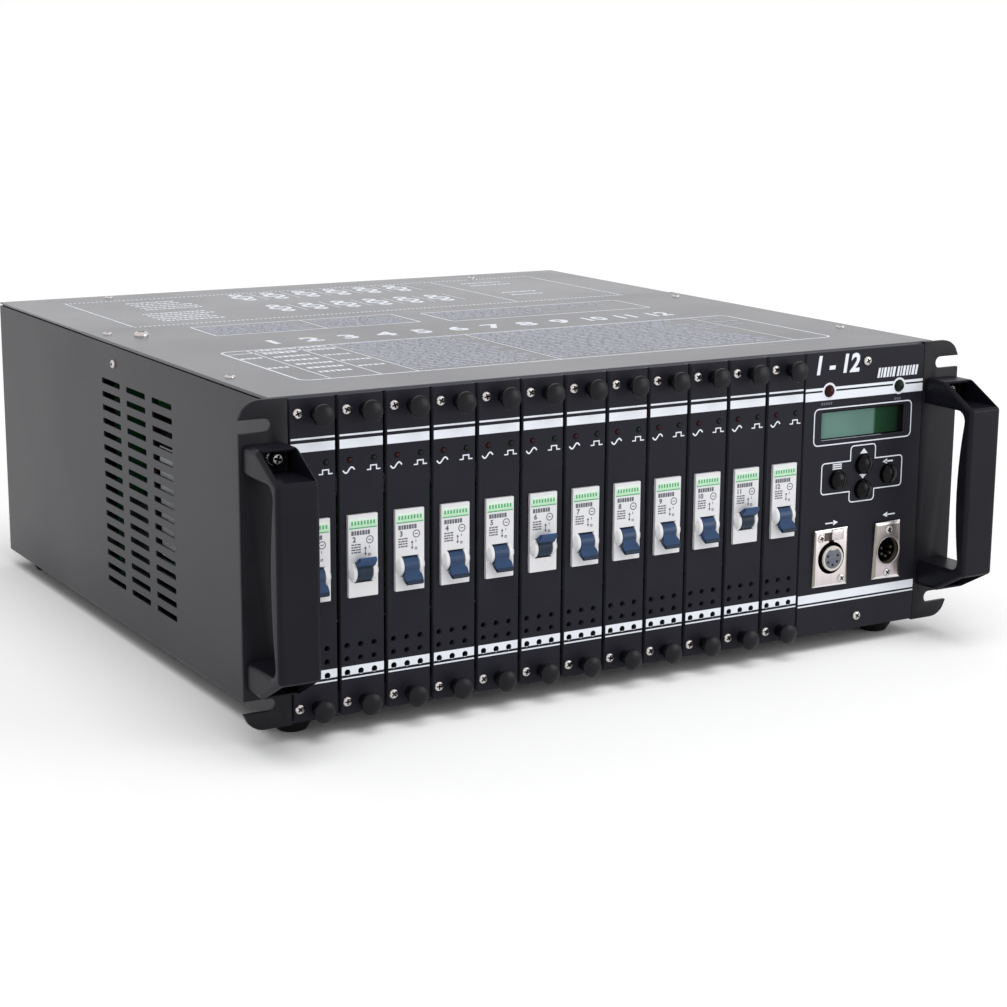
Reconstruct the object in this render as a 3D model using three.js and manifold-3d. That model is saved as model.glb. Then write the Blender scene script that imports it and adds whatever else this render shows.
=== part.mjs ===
// A rack-mounted dimmer pack with twelve plug-in modules and a control panel.
// Millimetres. X runs to the right seen from the front, Y to the rear, Z up.
// Inside the pack group, Y is 0 on the front face of the panels and Z is 0 under the chassis floor.
import * as THREE from "three";
import { mergeVertices } from "three/addons/utils/BufferGeometryUtils.js";
import Module from "manifold-3d";

const wasm = await Module();
wasm.setup();

// Driving dimensions
const rackWidth = 482.6;
const panelHeight = 176;
const chassisDepth = 450;
const earOverhang = 18.8;
const earLap = 8.7;
const controlBay = 91.6;
const moduleCount = 12;
const panelThickness = 3;
const sheetThickness = 1.5;
const seatGap = 0.3;
const cutOverrun = 4;

// Worked out from the driving dimensions
const earWidth = earOverhang + earLap;
const chassisHalf = rackWidth / 2 - earOverhang;
const insideHalf = chassisHalf - sheetThickness;
const bayHalf = rackWidth / 2 - earWidth;
const modulePitch = (bayHalf + bayHalf - controlBay) / moduleCount;
const moduleEnd = moduleCount * modulePitch - bayHalf;
const behindPanel = panelThickness + seatGap;

// Folded chassis
const slot = {
  length: 30.5,
  height: 3,
  columns: 3,
  rows: 16,
  stepY: 41.2,
  stepZ: 8.3,
  frontY: 138,
  bottomZ: 24,
};
const flange = { width: 15, lip: 12 };

// Covers
const cover = { thickness: 1.6, rearThickness: 1.2, seamShare: 0.631, seamGap: 0.4 };

// Rack ears
const ear = {
  slotHeight: 7.1,
  slotDepth: 18,
  slotInset: 13.4,
  corner: 12,
  flangeDepth: 25,
  flangeThickness: 2,
};

// Carrying handles
const handle = {
  inset: 1.75,
  height: 131,
  reach: 42,
  flat: 17,
  drop: 14,
  gripEnd: 6,
  gripMiddle: 11,
  end: 16,
  openingCorner: 6,
  edge: 1.4,
  wall: 2.75,
  floor: 7,
  pocketWall: 2,
};

// Feet
const foot = { height: 10, top: 28, bottom: 17, insetX: 19.4, insetY: 24, bevel: 1.5 };

// Card cage
const cage = { depth: 10, rail: 14, post: 4, guide: 1.5, rib: 1, ribHeight: 4 };

// Dimmer module
const plate = { groove: 2.6, margin: 1 };
const knob = {
  diameter: 12.3,
  neck: 7.5,
  neckLength: 2.5,
  edgeLength: 8,
  length: 10,
  crown: 6.5,
  insetZ: 8.8,
  offsetX: 2,
};
const plateVent = {
  diameter: 3.3,
  pitchShare: 0.319,
  pitchZ: 7.4,
  bottomZ: 24.3,
  offsetX: -1.2,
  columns: 3,
  rows: 3,
};
const bracket = { thickness: 1.9 };
const sink = { height: 67, base: 3, frontY: 62, length: 126, fins: 4, fin: 2, finDepth: 14, dropZ: 2.5 };
const board = { thickness: 1.6, rearY: 240, edge: 0.3 };
const choke = { ring: 17, wire: 7, bite: 0.6, centreZ: 110 };
const plug = { length: 14, height: 50, depth: 14, bottomZ: 24, reach: 5.7 };

// Circuit breaker
const breaker = { widthShare: 0.6286, nose: 45, proud: 1.5, step: 16, body: 80, depth: 58 };
const breakerWidth = modulePitch * breaker.widthShare;
const dial = { dropZ: 8.9, depth: 1.5, radius: 5.9, gap: 0.9, clearance: 0.4 };
const lever = {
  drum: 5.5,
  widthShare: 0.568,
  root: 3.8,
  end: 1.4,
  reach: 12.6,
  flareShare: 0.716,
  flareStart: 6.4,
  flareFull: 8,
};
const leverThrowDegrees = 43;
const leverWidth = breakerWidth * lever.widthShare;
const leversUp = [2, 6, 11];

// Backplane
const backplane = { thickness: 2.4, top: 5, gap: 0.3 };

// Control panel
const display = { width: 65.8, height: 17, centreShare: 0.736, recess: 1.6, rim: 5 };
const button = {
  diameter: 11.6,
  proud: 4.6,
  crown: 2.2,
  crownShare: 0.6,
  travel: 1.5,
  spreadX: 19.7,
  spreadZ: 7.65,
};
const buttonClearance = 0.35;
const buttonStem = { diameter: 5, collar: 13.4, collarLength: 1.2, bodyLength: 3.2 };
const keypad = { centreShare: 0.548, offsetX: 1 };
const lamp = { hole: 5, spreadX: 27.2, centreShare: 0.858 };
const controlBoard = { frontY: 16, thickness: 1.6, bottomShare: 0.42, topShare: 0.92, rim: 5, standoff: 6 };
const tactSwitch = { size: 6 };

// Signal connectors
const outlet5 = {
  width: 26,
  height: 35,
  plate: 1.6,
  barrel: 24,
  length: 22,
  offsetX: -22.6,
  centreShare: 0.2767,
};
const outletWell = { outer: 20, inner: 15.8, depth: 12, insertProud: 2.4, tabWidth: 10, tabProud: 2.6 };
const inlet5 = {
  width: 21.4,
  height: 36,
  plate: 1.6,
  barrel: 21,
  length: 22,
  offsetX: 22.2,
  centreShare: 0.2733,
};
const inletWell = { diameter: 17.2, depth: 14, pins: 5, pin: 2, pinCircle: 8.8, pinLength: 11.5 };
const contactHole = { diameter: 1.9, depth: 4 };

// Rear panel
const socket = {
  face: 47,
  proud: 2.5,
  well: 39,
  depth: 17,
  body: 44,
  floor: 1.5,
  lowShare: 0.35,
  rowPitch: 58,
};
const sockets = { columns: 6, rows: 2, pitchShare: 0.11685 };
const gland = {
  hex: 33,
  hexLength: 6,
  body: 27,
  length: 24,
  dome: 22,
  bore: 20,
  thread: 25,
  inner: 10,
  offsetShare: 0.7101,
};
const glandX = chassisHalf * gland.offsetShare;
const rearFlange = { depth: 20 };

// Colours from the photo
const blackPaint = { color: 0x1c1c1f, roughness: 0.45, metalness: 0.1 };
const greyPaint = { color: 0x4b4b50, roughness: 0.55, metalness: 0.1 };
const blackPlastic = { color: 0x1a1a1c, roughness: 0.6, metalness: 0 };
const rubber = { color: 0x101011, roughness: 0.9, metalness: 0 };
const whitePlastic = { color: 0xd9d9dd, roughness: 0.4, metalness: 0 };
const bluePlastic = { color: 0x27486b, roughness: 0.4, metalness: 0 };
const nickel = { color: 0xb9b2ac, roughness: 0.35, metalness: 0.9 };
const zinc = { color: 0x9aa0a4, roughness: 0.45, metalness: 0.8 };
const circuitBoard = { color: 0x1f5a35, roughness: 0.6, metalness: 0 };
const displayGlass = { color: 0x6d8d82, roughness: 0.15, metalness: 0 };

// Turning shapes into solids
const alongY = new THREE.Matrix4().makeBasis(
  new THREE.Vector3(1, 0, 0),
  new THREE.Vector3(0, 0, 1),
  new THREE.Vector3(0, -1, 0),
);
const alongX = new THREE.Matrix4().makeBasis(
  new THREE.Vector3(0, 1, 0),
  new THREE.Vector3(0, 0, 1),
  new THREE.Vector3(1, 0, 0),
);

function toSolid(geometry) {
  const bare = geometry.index ? geometry.toNonIndexed() : geometry;
  bare.deleteAttribute("normal");
  bare.deleteAttribute("uv");
  const merged = mergeVertices(bare);
  const vertProperties = merged.attributes.position.array;
  const triVerts = new Uint32Array(merged.index.array);
  return new wasm.Manifold(new wasm.Mesh({ numProp: 3, vertProperties, triVerts }));
}

function block(x, y, z) {
  const geometry = new THREE.BoxGeometry(x[1] - x[0], y[1] - y[0], z[1] - z[0]);
  return toSolid(geometry.translate((x[0] + x[1]) / 2, (y[0] + y[1]) / 2, (z[0] + z[1]) / 2));
}

function extruded(outline, range, frame) {
  const depth = range[1] - range[0];
  const geometry = new THREE.ExtrudeGeometry(new THREE.Shape(outline), { depth, bevelEnabled: false });
  return geometry.applyMatrix4(frame);
}

function opened(solid, holes, make) {
  return holes.length ? solid.subtract(joined(holes.map(make))) : solid;
}

function widened(range) {
  return [range[0] - cutOverrun, range[1] + cutOverrun];
}

// An outline in X and Z, thick from y[0] to y[1], with holes right through
function plateXZ(outline, holes, y) {
  const solid = toSolid(extruded(outline, y, alongY).translate(0, y[1], 0));
  return opened(solid, holes, (hole) => plateXZ(hole, [], widened(y)));
}

// An outline in Y and Z, thick from x[0] to x[1], with holes right through
function plateYZ(outline, holes, x) {
  const solid = toSolid(extruded(outline, x, alongX).translate(x[0], 0, 0));
  return opened(solid, holes, (hole) => plateYZ(hole, [], widened(x)));
}

function rectangle(a, b) {
  return [point(a[0], b[0]), point(a[1], b[0]), point(a[1], b[1]), point(a[0], b[1])];
}

function point(a, b) {
  return new THREE.Vector2(a, b);
}

// Points on an arc, from one angle to another, both in turns
function arc(centreA, centreB, radius, from, to, steps) {
  const points = [];
  for (let i = 0; i <= steps; i += 1) {
    const angle = (from + ((to - from) * i) / steps) * Math.PI * 2;
    points.push(point(centreA + radius * Math.cos(angle), centreB + radius * Math.sin(angle)));
  }
  return points;
}

function ring(centreA, centreB, diameter, sides) {
  return arc(centreA, centreB, diameter / 2, 0, 1, sides).slice(0, sides);
}

// A round bar along Y
function barY(x, z, diameter, y, sides) {
  return plateXZ(ring(x, z, diameter, sides), [], y);
}

// A profile of [radius, y] points turned round the Y direction
function turnedY(profile, sides) {
  const points = profile.map(([radius, y]) => point(radius, y));
  return new THREE.LatheGeometry(points, sides);
}

function around(centre, size) {
  return [centre - size / 2, centre + size / 2];
}

function joined(solids) {
  return solids.reduce((whole, solid) => whole.add(solid));
}

function cutBy(solid, tools) {
  return tools.reduce((rest, tool) => rest.subtract(tool), solid);
}

function node(name, solid, finish) {
  const made = solid.getMesh();
  const geometry = new THREE.BufferGeometry();
  geometry.setAttribute("position", new THREE.BufferAttribute(new Float32Array(made.vertProperties), 3));
  geometry.setIndex(new THREE.BufferAttribute(new Uint32Array(made.triVerts), 1));
  const mesh = new THREE.Mesh(geometry, new THREE.MeshStandardMaterial(finish));
  mesh.name = name;
  return mesh;
}

// Heights shared by the sheet-metal parts
const coverSeatZ = panelHeight - cover.thickness - seatGap;
const flangeZ = [coverSeatZ - sheetThickness, coverSeatZ];
const cageRearY = behindPanel + cage.depth;
const floorZ = sheetThickness + seatGap;
const rearFaceY = chassisDepth - sheetThickness;
const seamY = chassisDepth * cover.seamShare;

// Chassis: floor, two slotted sides, inward flanges under the covers and lips for the rear panel
function sideSlots() {
  const slots = [];
  for (let column = 0; column < slot.columns; column += 1) {
    const y = slot.frontY + column * slot.stepY;
    for (let row = 0; row < slot.rows; row += 1) {
      const z = slot.bottomZ + row * slot.stepZ;
      slots.push(rectangle([y, y + slot.length], [z, z + slot.height]));
    }
  }
  return slots;
}

function chassisTray() {
  const wall = rectangle([behindPanel, chassisDepth], [0, coverSeatZ]);
  const walls = [-1, 1].map((side) => {
    const x = side < 0 ? [-chassisHalf, -insideHalf] : [insideHalf, chassisHalf];
    return plateYZ(wall, sideSlots(), x);
  });
  const floor = block([-chassisHalf, chassisHalf], [behindPanel, chassisDepth], [0, sheetThickness]);
  const flanges = [-1, 1].map((side) => {
    const x = side < 0 ? [-insideHalf, flange.width - insideHalf] : [insideHalf - flange.width, insideHalf];
    return block(x, [cageRearY + seatGap, rearFaceY - seatGap], flangeZ);
  });
  const lips = [-1, 1].map((side) => {
    const x = side < 0 ? [-insideHalf, flange.lip - insideHalf] : [insideHalf - flange.lip, insideHalf];
    return block(x, [rearFaceY - seatGap - sheetThickness, rearFaceY - seatGap], [0, flangeZ[1]]);
  });
  return joined([...walls, floor, ...flanges, ...lips]);
}

function topCoverFront() {
  return block(
    [-chassisHalf - seatGap, chassisHalf + seatGap],
    [behindPanel, seamY],
    [panelHeight - cover.thickness, panelHeight],
  );
}

function topCoverRear() {
  const bottom = panelHeight - cover.thickness;
  const height = [bottom, bottom + cover.rearThickness];
  return block([-chassisHalf, chassisHalf], [seamY + cover.seamGap, chassisDepth], height);
}

// Rack ear, drawn for the right side and mirrored for the left
function rackEar(side) {
  const tip = rackWidth / 2;
  const inner = bayHalf;
  const slotEnd = tip - ear.slotDepth;
  const slotRadius = ear.slotHeight / 2;
  const slotEdges = (z) => [
    point(tip, z - slotRadius),
    ...arc(slotEnd + slotRadius, z, slotRadius, -1 / 4, -3 / 4, 4),
    point(tip, z + slotRadius),
  ];
  const outline = [
    point(inner, 0),
    ...arc(tip - ear.corner, ear.corner, ear.corner, -1 / 4, -1 / 10, 3),
    ...slotEdges(ear.slotInset),
    ...slotEdges(panelHeight - ear.slotInset),
    ...arc(tip - ear.corner, panelHeight - ear.corner, ear.corner, 1 / 10, 1 / 4, 3),
    point(inner, panelHeight),
  ];
  const front = plateXZ(outline, [], [0, panelThickness]);
  const outside = insideHalf - seatGap;
  const back = block(
    [outside - ear.flangeThickness, outside],
    [0, panelThickness + ear.flangeDepth],
    [floorZ, coverSeatZ - sheetThickness - seatGap],
  );
  const whole = front.add(back);
  return side < 0 ? whole.mirror([1, 0, 0]) : whole;
}

// Carrying handle: a moulded bow with a hollow at each sloping end
function carryingHandle(side) {
  const centre = rackWidth / 2 - earWidth / 2;
  const width = earWidth - handle.inset * 2;
  const middleZ = panelHeight / 2;
  const halfHeight = handle.height / 2;
  const halfOpening = halfHeight - handle.end;
  const base = -seatGap;
  const outer = new THREE.Shape([
    point(base, middleZ - halfHeight),
    point(base, middleZ + halfHeight),
    point(-handle.flat, middleZ + halfHeight),
    point(-handle.reach, middleZ + halfHeight - handle.drop),
    point(-handle.reach, middleZ - halfHeight + handle.drop),
    point(-handle.flat, middleZ - halfHeight),
  ]);
  const gripEndY = handle.gripEnd - handle.reach;
  const bulgeY = gripEndY + (handle.gripMiddle - handle.gripEnd) * 2;
  const corner = handle.openingCorner;
  const finger = new THREE.Path();
  finger.moveTo(base + cutOverrun, middleZ - halfOpening);
  finger.lineTo(gripEndY + corner, middleZ - halfOpening);
  finger.quadraticCurveTo(gripEndY, middleZ - halfOpening, gripEndY, middleZ - halfOpening + corner);
  finger.quadraticCurveTo(bulgeY, middleZ, gripEndY, middleZ + halfOpening - corner);
  finger.quadraticCurveTo(gripEndY, middleZ + halfOpening, gripEndY + corner, middleZ + halfOpening);
  finger.lineTo(base + cutOverrun, middleZ + halfOpening);
  const x = around(centre, width);
  const bow = new THREE.ExtrudeGeometry(outer, {
    depth: width - handle.edge * 2,
    bevelThickness: handle.edge,
    bevelSize: handle.edge,
    bevelOffset: -handle.edge,
    bevelSegments: 2,
  });
  const body = toSolid(bow.applyMatrix4(alongX).translate(x[0] + handle.edge, 0, 0));
  const gap = plateYZ(finger.getPoints(5), [], [x[0] - cutOverrun, x[1] + cutOverrun]);
  const flush = block([x[0] - cutOverrun, x[1] + cutOverrun], [base, cutOverrun], [0, panelHeight]);
  const slope = handle.drop / (handle.reach - handle.flat);
  const legInside = halfOpening + handle.pocketWall;
  const legOutside = halfHeight - handle.wall;
  const pocketEnd = handle.pocketWall - handle.reach + handle.pocketWall * slope;
  const pockets = [-1, 1].map((end) => {
    const outline = [
      point(-handle.floor, middleZ + end * legInside),
      point(-handle.floor, middleZ + end * legOutside),
      point(-handle.flat, middleZ + end * legOutside),
      point(-handle.flat, middleZ + end * (halfHeight + cutOverrun)),
      point(pocketEnd, middleZ + end * (halfHeight + cutOverrun)),
      point(pocketEnd, middleZ + end * legInside),
    ];
    return plateYZ(outline, [], [x[0] + handle.wall, x[1] - handle.wall]);
  });
  const whole = cutBy(body, [gap, flush, ...pockets]);
  return side < 0 ? whole.mirror([1, 0, 0]) : whole;
}

function rubberFoot() {
  const top = -seatGap;
  const profile = [
    [0, -foot.height],
    [foot.bottom / 2 - foot.bevel, -foot.height],
    [foot.bottom / 2, foot.bevel - foot.height],
    [foot.top / 2, top],
    [0, top],
  ];
  return toSolid(turnedY(profile, 10).rotateX(Math.PI / 2));
}

// Card cage: a front frame with two openings, and guide plates with a rib between every two modules
function cardCage() {
  const outer = insideHalf - seatGap - ear.flangeThickness - seatGap;
  const top = coverSeatZ - seatGap;
  const openTop = panelHeight - cage.rail;
  const bayLeft = seatGap + bayHalf;
  const openings = [
    rectangle([-bayLeft, moduleEnd + seatGap], [cage.rail, openTop]),
    rectangle([moduleEnd + seatGap + cage.post, bayLeft], [cage.rail, openTop]),
  ];
  const frame = plateXZ(rectangle([-outer, outer], [floorZ, top]), openings, [behindPanel, cageRearY]);
  const rearY = board.rearY + plug.reach;
  const solids = [frame];
  for (const end of [-1, 1]) {
    const face = panelHeight / 2 + end * (panelHeight / 2 - cage.rail);
    const flat = [face, face + end * cage.guide].sort((a, b) => a - b);
    solids.push(block([-bayLeft, moduleEnd + seatGap], [behindPanel, rearY], flat));
    for (let k = 1; k < moduleCount; k += 1) {
      const x = k * modulePitch - bayHalf;
      const rib = [face - end * cage.ribHeight, face + end * cage.guide / 2].sort((a, b) => a - b);
      solids.push(block(around(x, cage.rib), [cageRearY - cage.rib, rearY], rib));
    }
  }
  return joined(solids);
}

const plugY = [board.rearY - plug.length, board.rearY + plug.reach];
const plugZ = [plug.bottomZ, plug.bottomZ + plug.height];

// Backplane: a board across the modules with one socket block for each
function backplaneBoard() {
  const front = board.rearY + plug.reach + backplane.gap;
  const face = front + plug.reach;
  const top = panelHeight - cage.rail - backplane.top;
  const sheet = block([-bayHalf, moduleEnd], [face, face + backplane.thickness], [floorZ, top]);
  const blocks = [];
  for (let k = 1; k <= moduleCount; k += 1) {
    const x = plugX(moduleCentre(k));
    blocks.push(block(x, [front, face + backplane.thickness / 2], plugZ));
  }
  return joined([sheet, ...blocks]);
}

function moduleCentre(k) {
  return (k - 1 / 2) * modulePitch - bayHalf;
}

function plugX(centre) {
  const boardFace = centre + breakerWidth / 2 + seatGap;
  return [boardFace - plug.depth, boardFace];
}

// Dimmer module: front plate with its knobs, side bracket, heat sink, power board, choke and plug
function pullKnob() {
  const profile = [
    [0, -knob.length],
    [knob.crown / 2, -knob.length],
    [knob.diameter / 2, -knob.edgeLength],
    [knob.diameter / 2, -knob.neckLength],
    [knob.neck / 2, 0],
    [0, 0],
  ];
  return turnedY(profile, 8);
}

function frontPlate() {
  const width = modulePitch - plate.groove;
  const windowZ = around(panelHeight / 2, breaker.nose + seatGap * 2);
  const openings = [rectangle(around(0, breakerWidth + seatGap * 2), windowZ)];
  for (let column = 0; column < plateVent.columns; column += 1) {
    const x = plateVent.offsetX + (column - (plateVent.columns - 1) / 2) * width * plateVent.pitchShare;
    for (let row = 0; row < plateVent.rows; row += 1) {
      openings.push(ring(x, plateVent.bottomZ + row * plateVent.pitchZ, plateVent.diameter, 5));
    }
  }
  const outline = rectangle(around(0, width), [plate.margin, panelHeight - plate.margin]);
  return plateXZ(outline, openings, [0, panelThickness]);
}

function heatSink(left) {
  const bottom = panelHeight / 2 - sink.dropZ - sink.height / 2;
  const face = left + sink.base;
  const step = (sink.height - sink.fin) / (sink.fins - 1);
  const outline = [point(left, bottom), point(face + sink.finDepth, bottom)];
  for (let k = 0; k < sink.fins; k += 1) {
    const z = bottom + k * step;
    if (k > 0) outline.push(point(face, z), point(face + sink.finDepth, z));
    outline.push(point(face + sink.finDepth, z + sink.fin));
    if (k < sink.fins - 1) outline.push(point(face, z + sink.fin));
  }
  outline.push(point(left, bottom + sink.height));
  const fins = plateXZ(outline, [], [sink.frontY, sink.frontY + sink.length]);
  const arm = block([left, left + bracket.thickness], [panelThickness / 2, sink.frontY + sink.base], [
    bottom,
    bottom + sink.height,
  ]);
  return fins.add(arm);
}

function chokeRing(x) {
  const ringShape = new THREE.TorusGeometry(choke.ring, choke.wire, 4, 8);
  const y = board.rearY - choke.ring - choke.wire;
  return toSolid(ringShape.rotateY(Math.PI / 2).translate(x - choke.wire + choke.bite, y, choke.centreZ));
}

function dimmerModule() {
  const boardX = breakerWidth / 2 + seatGap;
  const boardZ = [cage.rail + board.edge, panelHeight - cage.rail - board.edge];
  const knobSolid = pullKnob();
  const knobs = [knob.insetZ, panelHeight - knob.insetZ].map((z) =>
    toSolid(knobSolid.clone().translate(knob.offsetX, 0, z)),
  );
  return joined([
    frontPlate(),
    ...knobs,
    heatSink(-boardX - bracket.thickness),
    block([boardX, boardX + board.thickness], [panelThickness / 2, board.rearY], boardZ),
    chokeRing(boardX),
    block([plugX(0)[0], boardX + board.thickness / 2], plugY, plugZ),
  ]);
}

// Circuit breaker: stepped body, nose through the window and two round cheeks beside the lever
const dialZ = panelHeight / 2 - dial.dropZ;

// A slice of the breaker's side outline, its nose interrupted by the points of a round cheek or well
function breakerSlab(x, round) {
  const nose = around(panelHeight / 2, breaker.nose);
  const body = around(panelHeight / 2, breaker.body);
  const outline = [
    point(breaker.depth, body[0]),
    point(breaker.depth, body[1]),
    point(breaker.step, body[1]),
    point(breaker.step, nose[1]),
    point(-breaker.proud, nose[1]),
    ...round,
    point(-breaker.proud, nose[0]),
    point(breaker.step, nose[0]),
    point(breaker.step, body[0]),
  ];
  return plateYZ(outline, [], x);
}

function circuitBreaker() {
  const half = breakerWidth / 2;
  const wellHalf = leverWidth / 2 + dial.clearance;
  const wellSteps = 5;
  const wellRadius = (lever.drum + dial.gap) / Math.cos(Math.PI / (wellSteps * 2 - 2));
  const faceOffset = -breaker.proud - dial.depth;
  const cheekTurn = Math.acos(faceOffset / dial.radius) / Math.PI / 2;
  const wellTurn = Math.acos(faceOffset / wellRadius) / Math.PI / 2;
  const cheek = arc(dial.depth, dialZ, dial.radius, cheekTurn, 1 - cheekTurn, 4);
  const well = arc(dial.depth, dialZ, wellRadius, wellTurn, -wellTurn, wellSteps);
  return joined([
    breakerSlab([-half, -wellHalf], cheek),
    breakerSlab([-wellHalf, wellHalf], well),
    breakerSlab([wellHalf, half], cheek),
  ]);
}

// Breaker lever about its own pivot: a drum and a blade that flares sideways, tilted to where it rests
function breakerLever(up) {
  const rootHalf = lever.root / 2;
  const endHalf = lever.end / 2;
  const turn = Math.asin(rootHalf / lever.drum) / Math.PI / 2;
  const outline = [
    ...arc(0, 0, lever.drum, turn - 1 / 2, 1 / 2 - turn, 7),
    point(-lever.reach, endHalf),
    point(-lever.reach, -endHalf),
  ];
  const blade = plateYZ(outline, [], around(0, leverWidth));
  const flareOutline = [
    point(-lever.reach, -endHalf),
    point(-lever.reach, endHalf),
    point(-lever.flareFull, rootHalf),
    point(-lever.flareStart, 0),
    point(-lever.flareFull, -rootHalf),
  ];
  const flare = plateYZ(flareOutline, [], around(0, breakerWidth * lever.flareShare));
  const tilt = up ? -leverThrowDegrees : leverThrowDegrees;
  return blade.add(flare).rotate([tilt, 0, 0]);
}

// Control panel and what it carries
const controlCentre = (moduleEnd + bayHalf) / 2;
const controlHalf = (bayHalf - moduleEnd) / 2 - seatGap;
const keypadZ = panelHeight * keypad.centreShare;
const keypadX = controlCentre + keypad.offsetX;
const buttonPlaces = {
  up_button: [keypadX, keypadZ + button.spreadZ],
  down_button: [keypadX, keypadZ - button.spreadZ],
  menu_button: [keypadX - button.spreadX, keypadZ],
  escape_button: [keypadX + button.spreadX, keypadZ],
};
const displayZ = panelHeight * display.centreShare;
const outlet5X = controlCentre + outlet5.offsetX;
const outlet5Z = panelHeight * outlet5.centreShare;
const inlet5X = controlCentre + inlet5.offsetX;
const inlet5Z = panelHeight * inlet5.centreShare;

function controlPanel() {
  const lampZ = panelHeight * lamp.centreShare;
  const openings = [
    rectangle(around(controlCentre, display.width), around(displayZ, display.height)),
    ring(outlet5X, outlet5Z, outlet5.barrel + seatGap * 2, 12),
    ring(inlet5X, inlet5Z, inlet5.barrel + seatGap * 2, 12),
    ring(controlCentre - lamp.spreadX, lampZ, lamp.hole, 8),
    ring(controlCentre + lamp.spreadX, lampZ, lamp.hole, 8),
  ];
  for (const [x, z] of Object.values(buttonPlaces)) {
    openings.push(ring(x, z, button.diameter + buttonClearance * 2, 10));
  }
  const width = around(controlCentre, controlHalf * 2);
  const outline = rectangle(width, [plate.margin, panelHeight - plate.margin]);
  return plateXZ(outline, openings, [0, panelThickness]);
}

// Display: a glass that stands in the window and a wider case behind the panel
function displayUnit() {
  const glass = block(
    around(controlCentre, display.width - seatGap * 2),
    [display.recess, behindPanel + display.rim],
    around(displayZ, display.height - seatGap * 2),
  );
  const box = block(
    around(controlCentre, display.width + display.rim * 2),
    [behindPanel, controlBoard.frontY - seatGap],
    around(displayZ, display.height + display.rim * 2),
  );
  return glass.add(box);
}

// Control board: held on four standoffs, with a switch behind each button
function controlBoardUnit() {
  const half = controlHalf - controlBoard.rim;
  const z = [panelHeight * controlBoard.bottomShare, panelHeight * controlBoard.topShare];
  const rear = controlBoard.frontY + controlBoard.thickness;
  const solids = [block(around(controlCentre, half * 2), [controlBoard.frontY, rear], z)];
  const reach = controlBoard.standoff / 2;
  for (const x of [controlCentre - half + reach, controlCentre + half - reach]) {
    for (const end of [z[0] + reach, z[1] - reach]) {
      solids.push(barY(x, end, controlBoard.standoff, [behindPanel, rear], 6));
    }
  }
  for (const [x, z0] of Object.values(buttonPlaces)) {
    const face = stemEndY + button.travel + seatGap;
    solids.push(block(around(x, tactSwitch.size), [face, rear], around(z0, tactSwitch.size)));
  }
  return joined(solids);
}

// Push button: domed cap, collar behind the panel and a stem towards its switch
const collarY = behindPanel + buttonStem.collarLength;
const stemEndY = collarY + buttonStem.bodyLength;

function pushButton() {
  const cap = button.diameter / 2;
  const profile = [
    [0, -button.proud],
    [cap * button.crownShare, -button.proud],
    [cap, button.crown - button.proud],
    [cap, behindPanel],
    [buttonStem.collar / 2, behindPanel],
    [buttonStem.collar / 2, collarY],
    [buttonStem.diameter / 2, collarY],
    [buttonStem.diameter / 2, stemEndY],
    [0, stemEndY],
  ];
  return toSolid(turnedY(profile, 8));
}

// Female connector: plate, barrel, a well round its proud insert, and the latch tab
function outputConnector() {
  const face = -outlet5.plate - seatGap;
  const insertFace = face - outletWell.insertProud;
  const floor = face + outletWell.depth;
  const plateZ = around(outlet5Z, outlet5.height);
  const flangePlate = block(around(outlet5X, outlet5.width), [face, -seatGap], plateZ);
  const barrel = barY(outlet5X, outlet5Z, outlet5.barrel, [face, outlet5.length], 12);
  const well = barY(outlet5X, outlet5Z, outletWell.outer, [face - cutOverrun, floor], 12);
  const insert = barY(outlet5X, outlet5Z, outletWell.inner, [insertFace, floor + cutOverrun], 12);
  const holes = arc(outlet5X, outlet5Z, inletWell.pinCircle / 2, 1 / 4, 5 / 4, inletWell.pins + 1);
  const contacts = holes.slice(1, inletWell.pins + 1).map((p) =>
    barY(p.x, p.y, contactHole.diameter, [insertFace - cutOverrun, insertFace + contactHole.depth], 5),
  );
  const tab = block(
    around(outlet5X, outletWell.tabWidth),
    [face - outletWell.tabProud, face + outlet5.plate / 2],
    [outlet5Z + outletWell.outer / 2, plateZ[1]],
  );
  const shell = cutBy(joined([flangePlate, barrel, tab]), [well]);
  return cutBy(shell.add(insert), contacts);
}

// Male connector: plate, barrel, round well and five pins
function inputConnector() {
  const face = -inlet5.plate - seatGap;
  const floor = face + inletWell.depth;
  const plateZ = around(inlet5Z, inlet5.height);
  const flangePlate = block(around(inlet5X, inlet5.width), [face, -seatGap], plateZ);
  const barrel = barY(inlet5X, inlet5Z, inlet5.barrel, [face, inlet5.length], 12);
  const well = barY(inlet5X, inlet5Z, inletWell.diameter, [face - cutOverrun, floor], 12);
  const places = arc(inlet5X, inlet5Z, inletWell.pinCircle / 2, 1 / 4, 5 / 4, inletWell.pins + 1);
  const pins = places.slice(1, inletWell.pins + 1).map((p) =>
    barY(p.x, p.y, inletWell.pin, [floor - inletWell.pinLength, floor + inletWell.pin], 6),
  );
  return joined([cutBy(flangePlate.add(barrel), [well]), ...pins]);
}

// Rear panel with two rows of mains outlets
const socketZ = [];
for (let row = 0; row < sockets.rows; row += 1) {
  socketZ.push(panelHeight * socket.lowShare + row * socket.rowPitch);
}
const socketPitch = chassisHalf * 2 * sockets.pitchShare;
const socketX = [];
for (let column = 0; column < sockets.columns; column += 1) {
  socketX.push((column - (sockets.columns - 1) / 2) * socketPitch - socketPitch);
}

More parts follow.
